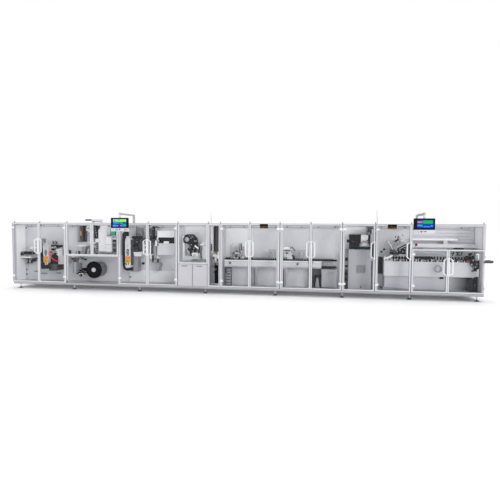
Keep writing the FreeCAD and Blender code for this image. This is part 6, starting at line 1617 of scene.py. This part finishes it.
@dataclass
class Studio:
    """Floor, world, lamps and camera."""

    eye: tuple[float, float, float] = (2.014, -10.678, 1.681)
    yaw: float = -8.547
    pitch: float = -2.567
    roll: float = 0.407
    lens: float = 28.8
    floor_size: float = 60.0
    floor_tone: str = "F2F2F3"
    lamps: tuple[tuple[str, float, float, float], ...] = (
        ("overhead_softbox", 1.65, -14.0, 42.0), ("front_softbox", 1.12, 74.0, 30.0))
    front_turn: float = 44.0

    def floor(self) -> None:
        """Lay the pale floor, which shows its shadow on white."""
        data = bpy.data.meshes.new("floor")
        half = self.floor_size / 2
        data.from_pydata([(-half, -half, 0), (half, -half, 0), (half, half, 0), (-half, half, 0)], [],
                         [(0, 1, 2, 3)])
        floor = bpy.data.objects.new("floor", data)
        bpy.context.scene.collection.objects.link(floor)
        material = bpy.data.materials.new("pale_studio_floor")
        material.use_nodes = True
        tree = material.node_tree
        tree.nodes.clear()
        matt = add_node(tree, "ShaderNodeBsdfPrincipled", Base_Color=linear(self.floor_tone), Roughness=0.7)
        glow = add_node(tree, "ShaderNodeEmission", Color=(1.0, 1.0, 1.0, 1.0), Strength=1.0)
        ray = add_node(tree, "ShaderNodeLightPath")
        share = add_node(tree, "ShaderNodeMath", {"operation": "MULTIPLY"})
        tree.links.new(ray.outputs["Is Camera Ray"], share.inputs[0])
        share.inputs[1].default_value = 0.06
        both = add_node(tree, "ShaderNodeMixShader", Fac=share.outputs[0])
        tree.links.new(matt.outputs["BSDF"], both.inputs[1])
        tree.links.new(glow.outputs["Emission"], both.inputs[2])
        output = add_node(tree, "ShaderNodeOutputMaterial")
        tree.links.new(both.outputs["Shader"], output.inputs["Surface"])
        data.materials.append(material)

    def world(self) -> None:
        """Set a white background and an even, plain sky light."""
        world = bpy.data.worlds.new("studio")
        bpy.context.scene.world = world
        world.use_nodes = True
        tree = world.node_tree
        tree.nodes.clear()
        seen = add_node(tree, "ShaderNodeBackground", Color=(1.0, 1.0, 1.0, 1.0), Strength=1.0)
        light = add_node(tree, "ShaderNodeBackground", Color=(1.0, 1.0, 1.0, 1.0), Strength=0.64)
        ray = add_node(tree, "ShaderNodeLightPath")
        either = add_node(tree, "ShaderNodeMath", {"operation": "MAXIMUM"})
        tree.links.new(ray.outputs["Is Camera Ray"], either.inputs[0])
        tree.links.new(ray.outputs["Is Glossy Ray"], either.inputs[1])
        any_ray = add_node(tree, "ShaderNodeMath", {"operation": "MAXIMUM"})
        tree.links.new(either.outputs[0], any_ray.inputs[0])
        tree.links.new(ray.outputs["Is Transmission Ray"], any_ray.inputs[1])
        both = add_node(tree, "ShaderNodeMixShader", Fac=any_ray.outputs[0])
        tree.links.new(light.outputs["Background"], both.inputs[1])
        tree.links.new(seen.outputs["Background"], both.inputs[2])
        output = add_node(tree, "ShaderNodeOutputWorld")
        tree.links.new(both.outputs["Shader"], output.inputs["Surface"])

    def light(self) -> None:
        """Hang the lamps: each has a strength, a tilt from the zenith and a width."""
        for name, strength, tilt, width in self.lamps:
            data = bpy.data.lights.new(name, "SUN")
            data.energy = strength
            data.angle = math.radians(width)
            lamp = bpy.data.objects.new(name, data)
            lamp.location = (0.0, -math.sin(math.radians(tilt)) * 8, math.cos(math.radians(tilt)) * 8)
            lamp.rotation_euler = (math.radians(tilt), 0, math.radians(self.front_turn if tilt > 0 else 0))
            bpy.context.scene.collection.objects.link(lamp)

    def camera(self) -> None:
        """Stand the camera where the photograph was taken."""
        data = bpy.data.cameras.new("camera")
        data.lens, data.sensor_width = self.lens, 36.0
        data.clip_end = 200.0
        yaw, pitch, roll = (math.radians(value) for value in (self.yaw, self.pitch, self.roll))
        ahead = Vector((math.sin(yaw) * math.cos(pitch), math.cos(yaw) * math.cos(pitch), math.sin(pitch)))
        across = Vector((math.cos(yaw), -math.sin(yaw), 0))
        above = across.cross(ahead)
        right = math.cos(roll) * across + math.sin(roll) * above
        top = -math.sin(roll) * across + math.cos(roll) * above
        camera = bpy.data.objects.new("camera", data)
        camera.matrix_world = Matrix((right, top, -ahead)).transposed().to_4x4()
        camera.location = self.eye
        bpy.context.scene.collection.objects.link(camera)
        bpy.context.scene.camera = camera

    def build(self) -> None:
        """Set up the studio."""
        self.floor()
        self.world()
        self.light()
        self.camera()
        bpy.context.scene.view_settings.view_transform = "Standard"


def main() -> None:
    """Load the frame, build each part of the line on it and set up the studio."""
    logging.basicConfig(level=logging.INFO, format="%(name)s %(message)s")
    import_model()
    for part in (Enclosure(), OperatorPanels(), FilmEnd(), MiddleBays(), CartonEnd(), Studio()):
        part.build()
        LOG.info("%s is built", type(part).__name__)


if __name__ == "__main__":
    main()
